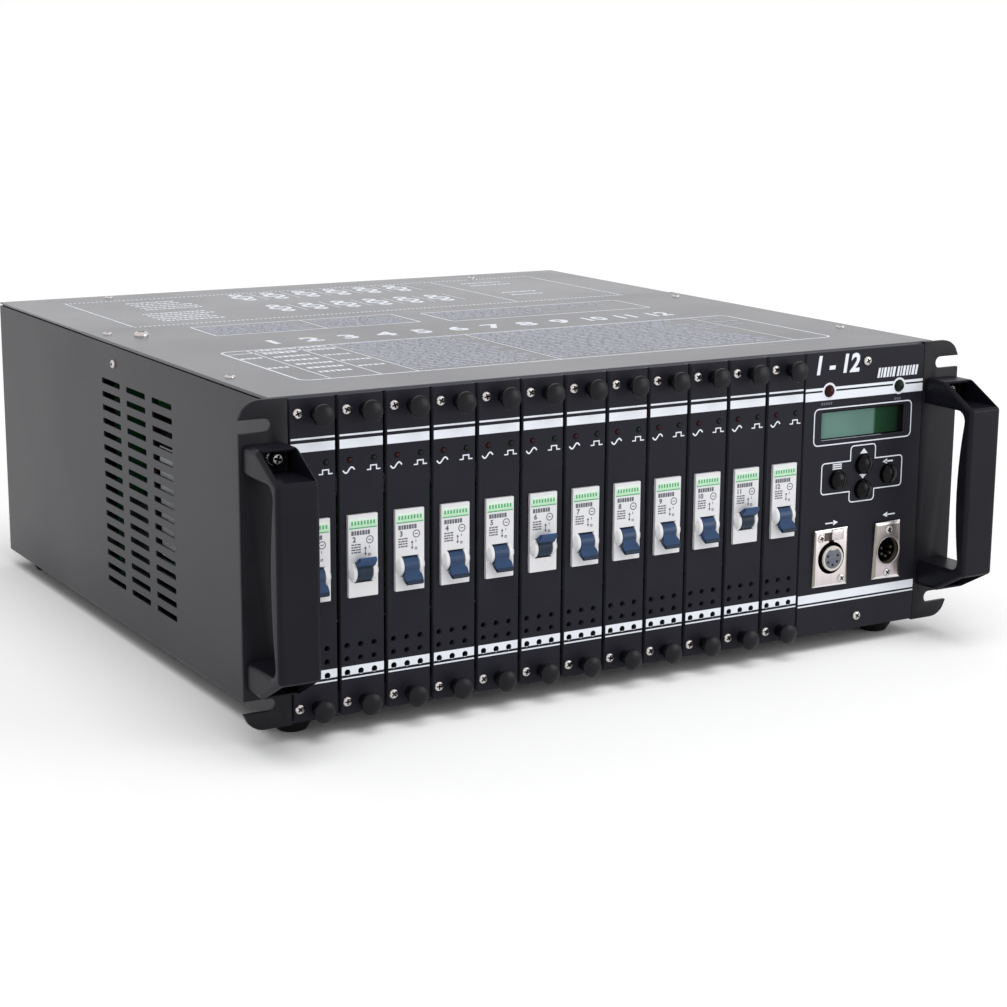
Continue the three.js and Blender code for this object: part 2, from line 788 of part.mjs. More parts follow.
function rearPanel() {
  const outline = rectangle(around(0, (insideHalf - seatGap) * 2), [floorZ, coverSeatZ]);
  const glandHole = ring(glandX, socketZ[0], gland.thread + seatGap * 2, 12);
  const sheet = plateXZ(outline, [glandHole], [rearFaceY, chassisDepth]);
  const top = block(
    around(0, (insideHalf - flange.width - seatGap) * 2),
    [rearFaceY - rearFlange.depth, chassisDepth],
    flangeZ,
  );
  const bodies = [];
  const wells = [];
  const face = chassisDepth + socket.proud;
  for (const x of socketX) {
    for (const z of socketZ) {
      bodies.push(block(around(x, socket.face), [rearFaceY, face], around(z, socket.face)));
      bodies.push(barY(x, z, socket.body, [face - socket.depth - socket.floor, chassisDepth], 8));
      wells.push(barY(x, z, socket.well, [face - socket.depth, face + cutOverrun], 10));
    }
  }
  return cutBy(joined([sheet, top, ...bodies]), wells);
}

// Cable gland: threaded shank through the panel, hexagon and domed nut, open all the way
function cableGland() {
  const x = glandX;
  const z = socketZ[0];
  const rear = chassisDepth + seatGap;
  const hexEnd = rear + gland.hexLength;
  const end = rear + gland.length;
  const shank = barY(x, z, gland.thread, [chassisDepth - gland.inner, hexEnd], 12);
  const hexagon = barY(x, z, gland.hex, [rear, hexEnd], 6);
  const dome = toSolid(
    turnedY(
      [
        [0, hexEnd - seatGap],
        [gland.body / 2, hexEnd - seatGap],
        [gland.body / 2, end - gland.hexLength],
        [gland.dome / 2, end],
        [0, end],
      ],
      12,
    ).translate(x, 0, z),
  );
  const bore = barY(x, z, gland.bore, [chassisDepth - gland.inner - cutOverrun, end + cutOverrun], 12);
  return joined([shank, hexagon, dome]).subtract(bore);
}

// Assembly
const pack = new THREE.Group();
pack.add(node("chassis_tray", chassisTray(), greyPaint));
pack.add(node("top_cover_front", topCoverFront(), greyPaint));
pack.add(node("top_cover_rear", topCoverRear(), greyPaint));
pack.add(node("rear_panel", rearPanel(), blackPaint));
pack.add(node("cable_gland", cableGland(), blackPlastic));
for (const [word, side] of [["left", -1], ["right", 1]]) {
  pack.add(node(`rack_ear_${word}`, rackEar(side), blackPaint));
  pack.add(node(`handle_${word}`, carryingHandle(side), blackPlastic));
  for (const [place, y] of [["front", foot.insetY], ["rear", chassisDepth - foot.insetY]]) {
    const rubberPad = node(`foot_${place}_${word}`, rubberFoot(), rubber);
    rubberPad.position.set(side * (chassisHalf - foot.insetX), y, 0);
    pack.add(rubberPad);
  }
}
pack.add(node("card_cage", cardCage(), zinc));
pack.add(node("backplane", backplaneBoard(), circuitBoard));
pack.add(node("control_panel", controlPanel(), blackPaint));
pack.add(node("display", displayUnit(), displayGlass));
pack.add(node("control_board", controlBoardUnit(), circuitBoard));
pack.add(node("output_connector", outputConnector(), nickel));
pack.add(node("input_connector", inputConnector(), nickel));
for (const [name, [x, z]] of Object.entries(buttonPlaces)) {
  const cap = node(name, pushButton(), blackPlastic);
  cap.position.set(x, 0, z);
  pack.add(cap);
}
for (let k = 1; k <= moduleCount; k += 1) {
  const slice = new THREE.Group();
  slice.position.x = moduleCentre(k);
  slice.add(node(`dimmer_module_${k}`, dimmerModule(), blackPaint));
  slice.add(node(`breaker_${k}`, circuitBreaker(), whitePlastic));
  const switchLever = node(`breaker_lever_${k}`, breakerLever(leversUp.includes(k)), bluePlastic);
  switchLever.position.set(0, dial.depth, dialZ);
  slice.add(switchLever);
  pack.add(slice);
}

// The part's origin is under the middle of the whole, on the surface that it stands on
const frontReach = handle.reach;
const rearReach = chassisDepth + seatGap + gland.length;
pack.position.set(0, (frontReach - rearReach) / 2, foot.height);
const dimmerPack = new THREE.Group();
dimmerPack.add(pack);

export default dimmerPack;
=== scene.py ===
"""The looks of a rack-mounted dimmer pack with twelve plug-in modules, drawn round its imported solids."""

import math
import random

import bmesh
import bpy
from mathutils import Matrix, Vector


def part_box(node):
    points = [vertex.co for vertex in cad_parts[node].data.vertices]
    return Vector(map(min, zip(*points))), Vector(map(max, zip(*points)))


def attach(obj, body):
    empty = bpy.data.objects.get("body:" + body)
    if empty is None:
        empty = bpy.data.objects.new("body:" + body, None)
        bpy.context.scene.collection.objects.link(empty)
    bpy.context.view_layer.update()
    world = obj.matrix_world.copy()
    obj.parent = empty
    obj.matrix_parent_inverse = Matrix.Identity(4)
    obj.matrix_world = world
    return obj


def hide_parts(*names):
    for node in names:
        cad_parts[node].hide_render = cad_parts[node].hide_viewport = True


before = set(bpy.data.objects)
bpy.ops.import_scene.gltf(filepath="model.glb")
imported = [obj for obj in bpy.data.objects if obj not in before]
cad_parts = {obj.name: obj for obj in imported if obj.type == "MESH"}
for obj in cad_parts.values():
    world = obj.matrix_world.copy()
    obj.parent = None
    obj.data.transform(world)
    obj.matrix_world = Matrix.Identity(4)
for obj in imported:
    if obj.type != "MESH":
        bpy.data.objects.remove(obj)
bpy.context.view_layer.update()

# Sizes in millimetres. X is 0 in the middle, Y is 0 on the front face of the panels, Z is 0 under the chassis.
RACK_HALF = 241.3
PANEL_HEIGHT = 176.0
MIDDLE_Z = PANEL_HEIGHT / 2
PANEL = 3.0
SKIN = 0.4
PANEL_Z = (1, PANEL_HEIGHT - 1)
CHASSIS_HALF = 222.5
CHASSIS_DEPTH = 450.0
SHEET = 1.5
INSIDE_HALF = CHASSIS_HALF - SHEET
SEAT = 0.3
SEAM_Y = 283.95
COVER = 1.6
REAR_COVER = 1.2
TRAY_TOP = PANEL_HEIGHT - COVER - SEAT
BAY_HALF = 213.8
MODULES = 12
PITCH = 28.0
INK = 0.06
METRES = 0.001

# A plate is its dark back with a painted skin in front: from, to, edge
PLATE_BACK = (-PANEL, -SKIN, 0.1)
PLATE_SKIN = (-SKIN, 0, 0.15)

# A shape is drawn as (a, b, c), a and b in its own plane and c towards whoever looks at it.
FRONT = Matrix(((1, 0, 0, 0), (0, 0, -1, 0), (0, 1, 0, 0), (0, 0, 0, 1)))
REAR = Matrix(((-1, 0, 0, 0), (0, 0, 1, 0), (0, 1, 0, 0), (0, 0, 0, 1)))
RIGHT = Matrix(((0, 0, 1, 0), (1, 0, 0, 0), (0, 1, 0, 0), (0, 0, 0, 1)))
LEFT = Matrix(((0, 0, -1, 0), (-1, 0, 0, 0), (0, 1, 0, 0), (0, 0, 0, 1)))
TOP = Matrix.Identity(4)
MIRRORED = Matrix.Scale(-1, 4, (1, 0, 0))

front_face_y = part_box("control_panel")[0].y
underside_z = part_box("chassis_tray")[0].z
TO_PART = Matrix.Translation((0, front_face_y, underside_z)) @ Matrix.Scale(METRES, 4)

# Outlines


def arc(a, b, radius, start, end, steps):
    """Points from one angle to another, both in turns."""
    angles = [(start + (end - start) * i / steps) * math.tau for i in range(steps + 1)]
    return [(a + radius * math.cos(t), b + radius * math.sin(t)) for t in angles]


def circle(a, b, diameter, steps=24):
    return arc(a, b, diameter / 2, 0, 1, steps)[:steps]


def span(centre, size):
    return (centre - size / 2, centre + size / 2)


def rectangle(a, b, radius=0.0, steps=4):
    """A rectangle over the ranges a and b, its corners rounded."""
    if not radius:
        return [(a[0], b[0]), (a[1], b[0]), (a[1], b[1]), (a[0], b[1])]
    points = []
    for x, y, turn in ((a[1], b[1], 0), (a[0], b[1], 0.25), (a[0], b[0], 0.5), (a[1], b[0], 0.75)):
        x += radius if x == a[0] else -radius
        y += radius if y == b[0] else -radius
        points += arc(x, y, radius, turn, turn + 0.25, steps)
    return points


def with_mirror(points, a=-1, b=1):
    """Points, then their mirror images on the way back."""
    return [*points, *[(x * a, y * b) for x, y in reversed(points)]]


def eased(corners, steps=5):
    """A closed outline from corners of (a, b, radius), each rounded by its own radius."""
    points = []
    for i, (a, b, radius) in enumerate(corners):
        if not radius:
            points.append((a, b))
            continue
        here = Vector((a, b))
        back = (Vector(corners[i - 1][:2]) - here).normalized()
        on = (Vector(corners[(i + 1) % len(corners)][:2]) - here).normalized()
        half = back.angle(on) / 2
        centre = here + (back + on).normalized() * (radius / math.sin(half))
        first = here + back * (radius / math.tan(half)) - centre
        last = here + on * (radius / math.tan(half)) - centre
        start = math.atan2(first.y, first.x) / math.tau
        sweep = (math.atan2(last.y, last.x) / math.tau - start + 0.5) % 1 - 0.5
        points += arc(centre.x, centre.y, radius, start, start + sweep, steps)
    return points


# Shapes


def mesh_of(shape, name="part"):
    """A mesh from a shape, which is freed."""
    mesh = bpy.data.meshes.new(name)
    shape.to_mesh(mesh)
    shape.free()
    return mesh


def linked(name, data):
    made = bpy.data.objects.new(name, data)
    bpy.context.scene.collection.objects.link(made)
    return made


def cleaned(shape, matrix):
    """Merges doubled points, turns the faces outward and moves the shape to its plane."""
    bmesh.ops.remove_doubles(shape, verts=shape.verts, dist=0.001)
    bmesh.ops.recalc_face_normals(shape, faces=shape.faces)
    shape.transform(matrix)
    return shape


def from_curve(curve, matrix):
    holder = bpy.data.objects.new("holder", curve)
    mesh = bpy.data.meshes.new_from_object(holder)
    shape = bmesh.new()
    shape.from_mesh(mesh)
    bpy.data.objects.remove(holder)
    bpy.data.curves.remove(curve)
    bpy.data.meshes.remove(mesh)
    return cleaned(shape, matrix)


def sheet(outline, holes, low, high, plane=FRONT, edge=0.0, steps=1):
    """A flat sheet with holes right through, its rims rounded by edge."""
    curve = bpy.data.curves.new("sheet", "CURVE")
    curve.dimensions = "2D"
    curve.fill_mode = "BOTH"
    curve.extrude = (high - low) / 2 - edge
    curve.bevel_depth = edge
    curve.bevel_resolution = steps
    curve.offset = -edge
    for points in [outline, *holes]:
        spline = curve.splines.new("POLY")
        spline.points.add(len(points) - 1)
        spline.points.foreach_set("co", [n for a, b in points for n in (a, b, 0, 1)])
        spline.use_cyclic_u = True
    return from_curve(curve, plane @ Matrix.Translation((0, 0, (low + high) / 2)))


def figure(text, height, a, b, c, plane=FRONT, wide=1.0, heavy=0.0, lean=0.0):
    """Plain figures as ink, centred on a and b."""
    capital_share = 0.73
    curve = bpy.data.curves.new("figure", "FONT")
    curve.body = text
    curve.size = height / capital_share
    curve.align_x = "CENTER"
    curve.align_y = "CENTER"
    curve.extrude = INK / 2
    curve.offset = heavy
    curve.shear = lean
    curve.resolution_u = 3
    return from_curve(curve, plane @ Matrix.Translation((a, b, c + INK / 2)) @ Matrix.Diagonal((wide, 1, 1, 1)))


def slab(outline, low, high, plane=FRONT):
    """A closed outline, thick from low to high."""
    shape = bmesh.new()
    face = shape.faces.new([shape.verts.new((a, b, low)) for a, b in outline])
    grown = bmesh.ops.extrude_face_region(shape, geom=[face])["geom"]
    lifted = [g for g in grown if isinstance(g, bmesh.types.BMVert)]
    bmesh.ops.translate(shape, vec=(0, 0, high - low), verts=lifted)
    bmesh.ops.recalc_face_normals(shape, faces=shape.faces)
    shape.transform(plane)
    return shape


def bevelled(shape, edges, width, segments):
    bmesh.ops.bevel(
        shape, geom=edges, offset=width, offset_type="OFFSET", segments=segments, profile=0.5, affect="EDGES",
        clamp_overlap=True, material=-1,
    )
    return shape


def rounded(shape, width, segments=2, sharper=35):
    """Rounds every edge that turns by more than an angle in degrees."""
    limit = math.radians(sharper)
    edges = [e for e in shape.edges if len(e.link_faces) == 2 and e.calc_face_angle(0) > limit]
    return bevelled(shape, edges, width, segments)


def block(a, b, c, edge=0.0, plane=FRONT, segments=2):
    """A box over three ranges, its edges rounded."""
    shape = bmesh.new()
    middle = Matrix.Translation([(r[0] + r[1]) / 2 for r in (a, b, c)])
    size = Matrix.Diagonal([*[r[1] - r[0] for r in (a, b, c)], 1])
    bmesh.ops.create_cube(shape, size=1, matrix=plane @ middle @ size)
    bmesh.ops.recalc_face_normals(shape, faces=shape.faces)
    return rounded(shape, edge, segments) if edge else shape


def spun(shape, geom, axis, steps):
    """A full turn of some edges about an axis, its ends merged."""
    bmesh.ops.spin(
        shape, geom=geom, cent=(0, 0, 0), axis=axis, dvec=(0, 0, 0), angle=math.tau, steps=steps,
        use_merge=True, use_duplicate=False,
    )
    return shape


def turned(profile, a, b, steps=24, plane=FRONT):
    """A profile of (radius, c) points, spun round the direction that plane faces."""
    shape = bmesh.new()
    verts = [shape.verts.new((radius, 0, c)) for radius, c in profile]
    edges = [shape.edges.new(pair) for pair in zip(verts, verts[1:])]
    return cleaned(spun(shape, verts + edges, (0, 0, 1), steps), plane @ Matrix.Translation((a, b, 0)))


def bar(a, b, diameter, low, high, steps=24, plane=FRONT):
    r = diameter / 2
    return turned([(0, low), (r, low), (r, high), (0, high)], a, b, steps, plane)


def together(*shapes):
    whole = bmesh.new()
    for shape in shapes:
        mesh = mesh_of(shape)
        whole.from_mesh(mesh)
        bpy.data.meshes.remove(mesh)
    return whole


def moved(shape, matrix):
    """A copy of a shape in another place. A mirrored copy is turned the right way out again."""
    copy = shape.copy()
    copy.transform(matrix)
    if matrix.determinant() < 0:
        bmesh.ops.reverse_faces(copy, faces=copy.faces)
    return copy


def shaped(shape, tool, operation="DIFFERENCE"):
    """Cuts a shape by a tool, or keeps what the two share."""
    holders = [linked("part", mesh_of(part)) for part in (shape, tool)]
    cut = holders[0].modifiers.new("cut", "BOOLEAN")
    cut.object = holders[1]
    cut.operation = operation
    cut.solver = "EXACT"
    seen = holders[0].evaluated_get(bpy.context.evaluated_depsgraph_get())
    mesh = bpy.data.meshes.new_from_object(seen)
    result = bmesh.new()
    result.from_mesh(mesh)
    for holder in holders:
        bpy.data.objects.remove(holder)
    bmesh.ops.remove_doubles(result, verts=result.verts, dist=0.001)
    return result


def drawn_out(shape, edges, scale, rise):
    """Extrudes a ring of edges, scaled about the axis and raised, and returns the new ring."""
    made = bmesh.ops.extrude_edge_only(shape, edges=edges)["geom"]
    verts = [g for g in made if isinstance(g, bmesh.types.BMVert)]
    bmesh.ops.scale(shape, vec=(scale, scale, 1), verts=verts)
    bmesh.ops.translate(shape, vec=(0, 0, rise), verts=verts)
    rim = set(verts)
    return [g for g in made if isinstance(g, bmesh.types.BMEdge) and rim.issuperset(g.verts)]


def screw(a, b, c, plane=FRONT, diameter=5.5, height=1.9, turn=0.1):
    """A pan head seated on the level c. Its cross recess takes the second finish of the piece, a painted shadow."""
    top_share, recess_share = 0.7, 0.7
    shape = bmesh.new()
    arm, half = 0.3 * diameter, 0.085 * diameter
    cross = [
        (x * cosine - y * sine, x * sine + y * cosine)
        for cosine, sine in ((1, 0), (0, 1), (-1, 0), (0, -1))
        for x, y in ((arm, -half), (arm, half), (half, half))
    ]
    rings = []
    for points in (circle(0, 0, diameter * top_share, 20), cross):
        verts = [shape.verts.new((x, y, height)) for x, y in points]
        rings.append([shape.edges.new(pair) for pair in zip(verts, verts[1:] + verts[:1])])
    bmesh.ops.triangle_fill(shape, use_beauty=True, edges=rings[0] + rings[1], normal=(0, 0, 1))
    top = set(shape.faces)
    floor = drawn_out(shape, rings[1], 0.7, -recess_share * height)
    bmesh.ops.edgeloop_fill(shape, edges=floor)
    for face in set(shape.faces) - top:
        face.material_index = 1
    rim = rings[0]
    for scale, rise in ((1.2, -0.14), (1.13, -0.26), (1.054, -0.3), (1.0, -0.3)):
        rim = drawn_out(shape, rim, scale, rise * height)
    bmesh.ops.edgeloop_fill(shape, edges=rim)
    bmesh.ops.recalc_face_normals(shape, faces=shape.faces)
    shape.transform(plane @ Matrix.Translation((a, b, c)) @ Matrix.Rotation(turn * math.tau, 4, "Z"))
    return shape


def screws(places, c, plane, diameter, height):
    """Pan heads at places of (a, b, turn)."""
    return [screw(a, b, c, plane, diameter, height, turn) for a, b, turn in places]


def line(points, width, c, plane=FRONT, closed=False):
    """A drawn line of even width with mitred corners, as ink."""
    rails = ([], [])
    last = len(points) - 1
    for i, (a, b) in enumerate(points):
        here = Vector((a, b))
        runs = []
        if closed or i > 0:
            runs.append(here - Vector(points[i - 1]))
        if closed or i < last:
            runs.append(Vector(points[0 if i == last else i + 1]) - here)
        sides = [Vector((-run.y, run.x)).normalized() for run in runs]
        out = (sides[0] + sides[-1]).normalized()
        reach = width / 2 / max(out.dot(sides[0]), 0.4)
        for rail, way in zip(rails, (1, -1)):
            rail.append((a + out.x * reach * way, b + out.y * reach * way))
    if closed:
        return sheet(rails[0], [rails[1]], c, c + INK, plane)
    return sheet(rails[0] + rails[1][::-1], [], c, c + INK, plane)


def frame_line(a, b, radius, width, c, plane=FRONT):
    """A rounded frame as ink."""
    inner = rectangle((a[0] + width, a[1] - width), (b[0] + width, b[1] - width), radius - width)
    return sheet(rectangle(a, b, radius), [inner], c, c + INK, plane)


def ink(a, b, c=0, plane=FRONT):
    return block(a, b, (c, c + INK), plane=plane)


def ring(a, b, diameter, width, c, plane=FRONT, thick=INK):
    return sheet(circle(a, b, diameter, 32), [circle(a, b, diameter - width * 2, 32)], c, c + thick, plane)


def arrow(tail, base, point, level, width):
    """A level arrow as ink on the panels: a line over the range tail, and a head from its base to its point."""
    half = 1.7
    head = slab([(point, level), (base, level + half), (base, level - half)], 0, INK)
    return [line([(tail[0], level), (tail[1], level)], width, 0), head]


# Finishes


def linear(shade):
    """A hexadecimal colour as linear light."""
    parts = [int(shade[i : i + 2], 16) / 255 for i in (0, 2, 4)]
    return [p / 12.92 if p <= 0.04045 else ((p + 0.055) / 1.055) ** 2.4 for p in parts]


def add(tree, kind, **sockets):
    """A new node with constants on some of its sockets."""
    node = tree.nodes.new("ShaderNode" + kind)
    for socket, value in sockets.items():
        node.inputs[socket.replace("_", " ")].default_value = value
    return node


def wire(tree, *links):
    """Joins nodes by links of (node, its output, node, its input)."""
    for source, out, target, into in links:
        tree.links.new(source.outputs[out], target.inputs[into])


def finish(
    name, shade, roughness, metal=0.0, shine=0.5, coat=0.0,
    mottle=0.06, patch=0.03, grain=0.1, speck=0.0008, stretch=(1, 1, 1),
):
    """A surface whose colour and roughness drift in soft patches, over a fine grain."""
    made = bpy.data.materials.new(name)
    made.use_nodes = True
    tree = made.node_tree
    surface = tree.nodes["Principled BSDF"]
    surface.inputs["Metallic"].default_value = metal
    surface.inputs["Specular IOR Level"].default_value = shine
    surface.inputs["Coat Weight"].default_value = coat
    surface.inputs["Coat Roughness"].default_value = 0.08
    place = add(tree, "TexCoord")
    spread = add(tree, "Mapping", Scale=stretch)
    clouds = add(tree, "TexNoise", Scale=1 / patch, Detail=4)
    speckle = add(tree, "TexNoise", Scale=1 / speck, Detail=2)
    tint = add(tree, "ValToRGB")
    tint.name = "tint"
    for stop, share, at in zip(tint.color_ramp.elements, (1 - mottle, 1 + mottle), (0.32, 0.68)):
        stop.color = [*[p * share for p in linear(shade)], 1]
        stop.position = at
    rub = add(tree, "MapRange", From_Min=0.3, From_Max=0.7, To_Min=roughness * 0.9, To_Max=min(1.0, roughness * 1.1))
    bump = add(tree, "Bump", Strength=grain, Distance=0.00005)
    wire(
        tree, (place, "Object", spread, "Vector"),
        (spread, "Vector", clouds, "Vector"), (spread, "Vector", speckle, "Vector"),
        (clouds, "Fac", tint, "Fac"), (tint, "Color", surface, "Base Color"),
        (clouds, "Fac", rub, "Value"), (rub, "Result", surface, "Roughness"),
        (speckle, "Fac", bump, "Height"), (bump, "Normal", surface, "Normal"),
    )
    return made


def zoned(made, axis, stops):
    """Gives a finish other colours along one axis of the part. A stop is (millimetres, shade)."""
    tree = made.node_tree
    surface, tint = tree.nodes["Principled BSDF"], tree.nodes["tint"]
    place = next(n for n in tree.nodes if n.type == "TEX_COORD")
    split = add(tree, "SeparateXYZ")
    origin = (0, front_face_y, underside_z)["XYZ".index(axis)]
    first, last = stops[0][0], stops[-1][0]
    reach = add(tree, "MapRange", From_Min=first * METRES + origin, From_Max=last * METRES + origin)
    zones = add(tree, "ValToRGB")
    while len(zones.color_ramp.elements) < len(stops):
        zones.color_ramp.elements.new(0.5)
    for stop, (at, shade) in zip(zones.color_ramp.elements, stops):
        stop.position = (at - first) / (last - first)
        stop.color = [*linear(shade), 1]
    for stop, share in zip(tint.color_ramp.elements, (0.9, 1.0)):
        stop.color = (share, share, share, 1)
    mix = add(tree, "Mix")
    mix.data_type = "RGBA"
    mix.blend_type = "MULTIPLY"
    mix.inputs["Factor"].default_value = 1
    wire(
        tree, (place, "Object", split, "Vector"), (split, axis, reach, "Value"), (reach, "Result", zones, "Fac"),
        (zones, "Color", mix, "A"), (tint, "Color", mix, "B"), (mix, "Result", surface, "Base Color"),
    )
    return made


# Textures that several finishes share
SMOOTH_COAT = dict(patch=0.09, grain=0.15, speck=0.0009)
BRUSHED = dict(metal=1.0, patch=0.006, grain=0.2, speck=0.0003)
LEVER_MOULD = dict(mottle=0.1, patch=0.004, grain=0.15, speck=0.0004)
PRINTED = dict(mottle=0.08, patch=0.002, grain=0.05)
LENS = dict(shine=0.14, mottle=0.25, patch=0.0012, grain=0.05)
PLAIN_WELL = dict(shine=0.2, patch=0.004)

# Paints and mouldings
chassis_paint = finish(
    "chassis_grey_coat", "25252b", 0.32, shine=0.18, mottle=0.07, patch=0.09, grain=0.25, speck=0.0009
)
# The sides and the covers are one grey paint. The covers' lighter, bluer colour, lighter still on the rear cover, is a
# painted sheen.
cover_painted_sheen = finish("front_cover_grey_painted_sheen", "2a2b38", 0.25, shine=0.6, **SMOOTH_COAT)
rear_cover_painted_sheen = finish("rear_cover_grey_painted_sheen", "30313e", 0.25, shine=0.82, **SMOOTH_COAT)
black_paint = finish("black_powder_coat", "1d1d25", 0.45, shine=0.12, mottle=0.1, patch=0.02, grain=0.3, speck=0.0007)
ear_paint = finish("ear_black_paint", "19191e", 0.42, shine=0.16, mottle=0.1, patch=0.03, grain=0.3)
handle_black = finish(
    "handle_moulded_black", "14141b", 0.36, shine=0.13, mottle=0.08, patch=0.03, grain=0.25, speck=0.0006
)
knob_black = finish("knob_moulded_black", "0d0d12", 0.3, shine=0.2, mottle=0.08, patch=0.006, grain=0.2, speck=0.0004)
button_black = finish("button_gloss_black", "060608", 0.2, shine=0.14, mottle=0.1, patch=0.004, grain=0.05)
moulding = finish("socket_moulded_black", "131315", 0.45, shine=0.25, mottle=0.08, patch=0.02, grain=0.2)
# The plates' backs and edges are lighter than their paint: painted light in the gaps between the plates.
edge_painted_light = finish("plate_edge_painted_light", "3a3b42", 0.6, shine=0.1, mottle=0.15, patch=0.01, grain=0.3, speck=0.0006)
rubber = finish("foot_rubber", "101011", 0.85, shine=0.2, mottle=0.15, patch=0.008, grain=0.4, speck=0.0006)

# Inks and labels
white_ink = finish("white_screen_ink", "e3e7ef", 0.5, shine=0.3, mottle=0.025, patch=0.012, speck=0.0004)
text_ink = finish(
    "small_text_ink", "a4a6b3", 0.55, shine=0.3, mottle=0.5, patch=0.0011, speck=0.0004, stretch=(1, 0.35, 1)
)
label_green = zoned(
    finish("label_pale_green", "b5e2bb", 0.5, **PRINTED),
    "Z", [(103.6, "b4dfba"), (106, "c9e9ce"), (108.6, "e3ebe6")],
)
label_dark_green = finish("label_dark_green", "4f9f6a", 0.5, **PRINTED)
label_grey = finish("label_grey_ink", "595a64", 0.55, mottle=0.1, patch=0.002, grain=0.05)

# Metals
screw_steel = finish("screw_bright_plate", "cfcac9", 0.26, metal=1.0, mottle=0.08, patch=0.002, speck=0.0003)
# The near-black second finish of screws and fillings is a painted shadow.
painted_recess_shadow = finish("screw_recess_painted_shadow", "17171a", 0.6, shine=0.2, mottle=0.1, patch=0.002, grain=0.05)
SCREWS = (screw_steel, painted_recess_shadow)
nickel = finish("connector_nickel", "d8cfd0", 0.34, stretch=(4, 1, 0.4), **BRUSHED)
# The input flange's nickel darkens towards the top: a painted reflection.
nickel_painted_reflection = zoned(
    finish("input_flange_nickel_painted_reflection", "c9bfc0", 0.34, **BRUSHED),
    "Z", [(30, "cfc4c8"), (42, "c6bbbe"), (56, "9d9695"), (66, "8f8886")],
)
# Copies of the nickel for the flanges' chamfers: darker on the sides as a painted shade, near white on the top and
# bottom as a painted highlight.
nickel_painted_shade = finish("flange_side_nickel_painted_shade", "938e86", 0.36, **BRUSHED)
nickel_painted_highlight = finish("flange_top_nickel_painted_highlight", "f4f1f1", 0.3, metal=1.0, mottle=0.03, patch=0.006, speck=0.0003)
aluminium = finish(
    "heat_sink_aluminium", "c9cbcd", 0.36, metal=1.0, patch=0.01, grain=0.4, speck=0.0004, stretch=(1, 0.1, 1)
)
copper = finish("choke_copper_wire", "9c4a24", 0.3, metal=0.9, mottle=0.1, patch=0.004, grain=0.2, coat=0.4)

# Breakers, lamps and display
white_case = finish("breaker_white_case", "d9d9dc", 0.42, mottle=0.03, patch=0.01, speck=0.0004)
# A raised lever's blade is a darker copy of the blue, a painted shade, and its tip a lighter copy, a painted
# highlight.
lever_painted_shade = finish("lever_painted_shade_blue", "17283a", 0.36, shine=0.25, **LEVER_MOULD)
lever_tip_painted_highlight = finish("lever_tip_painted_highlight", "24426b", 0.32, shine=0.35, **LEVER_MOULD)
lever_blue = finish("lever_steel_blue", "1e395b", 0.32, shine=0.35, **LEVER_MOULD)
# The dark edge of a lowered lever's end and the rib on every drum are a painted shade.
lever_end_painted_shade = finish("lever_dark_end_painted_shade", "172537", 0.4, shine=0.25, mottle=0.1, patch=0.004)
red_lens = finish("lamp_red_lens", "2a070a", 0.22, **LENS)
green_lens = finish("lamp_green_lens", "0a1b12", 0.22, **LENS)
glass_black = finish("display_black_bezel", "0a0b0d", 0.3, shine=0.05, mottle=0.1, patch=0.01, grain=0.05)
# The window is pale on the left under a painted reflection, the screen's own dark green beyond, and black at the right
# end, a painted shade.
glass = zoned(
    finish("display_green_window_painted_reflection", "6d8d82", 0.22, shine=0.05, mottle=0.04, patch=0.02, grain=0.02),
    "X", [
        (136, "55766d"), (140, "64857c"), (176.5, "5f7e75"),
        (178.5, "1f3f2b"), (186, "1c3826"), (194, "182c1e"), (196.4, "0b0e0d"),
    ],
)

# Connectors and boards
insert_grey = finish("connector_blue_grey_insert", "5b5f6a", 0.5, mottle=0.08, patch=0.003)
insert_rim = finish("connector_cream_ring", "cbc6bc", 0.4, patch=0.003)
dark_well = finish("connector_dark_well", "0f0f12", 0.5, mottle=0.1, **PLAIN_WELL)
olive_well = finish("connector_olive_well", "4c483a", 0.5, mottle=0.15, **PLAIN_WELL)
# The brown of the latch recess is a painted shade.
latch_painted_shade = finish("latch_recess_painted_shade", "5c524c", 0.45, shine=0.3, mottle=0.15, patch=0.003)
# The pins darken from the tip into the well: a painted shade.
pin_painted_shade = zoned(
    finish("contact_pin_tin_painted_shade", "6a675d", 0.5, shine=0.3, **PRINTED),
    "Y", [(-0.5, "4f4d46"), (0.3, "302f2a"), (1.4, "131311")],
)
board_green = finish("board_green_lacquer", "1c5a33", 0.4, coat=0.3, mottle=0.18, patch=0.003, grain=0.5, speck=0.0012)
film = finish("capacitor_yellow_film", "c79a2b", 0.4, coat=0.3, patch=0.004)
backplane_zones = zoned(
    finish("backplane_board_and_sockets", "1c5a33", 0.45, mottle=0.1, patch=0.004, grain=0.3, speck=0.001),
    "Y", [(240, "141416"), (251.3, "141416"), (251.5, "1c5a33"), (256, "1c5a33")],
)

SHARP = math.radians(33)


def piece(name, shape, look, stands_for=(), body="pack", shift=(0, 0, 0), even=False):
    """Puts a copy of a shape in the part, in metres, with its finish or finishes, riding on a body."""
    work = shape.copy()
    work.transform(TO_PART @ Matrix.Translation(shift))
    for face in work.faces:
        face.smooth = True
    for edge in work.edges:
        edge.smooth = len(edge.link_faces) == 2 and edge.calc_face_angle(0) < SHARP
    obj = linked(name, mesh_of(work, name))
    for one in look if isinstance(look, tuple) else (look,):
        obj.data.materials.append(one)
    if even:
        shading = obj.modifiers.new("even_shading", "WEIGHTED_NORMAL")
        shading.keep_sharp = True
    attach(obj, body)
    if stands_for:
        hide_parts(*stands_for)
    return obj


# Chassis, covers, ears, feet


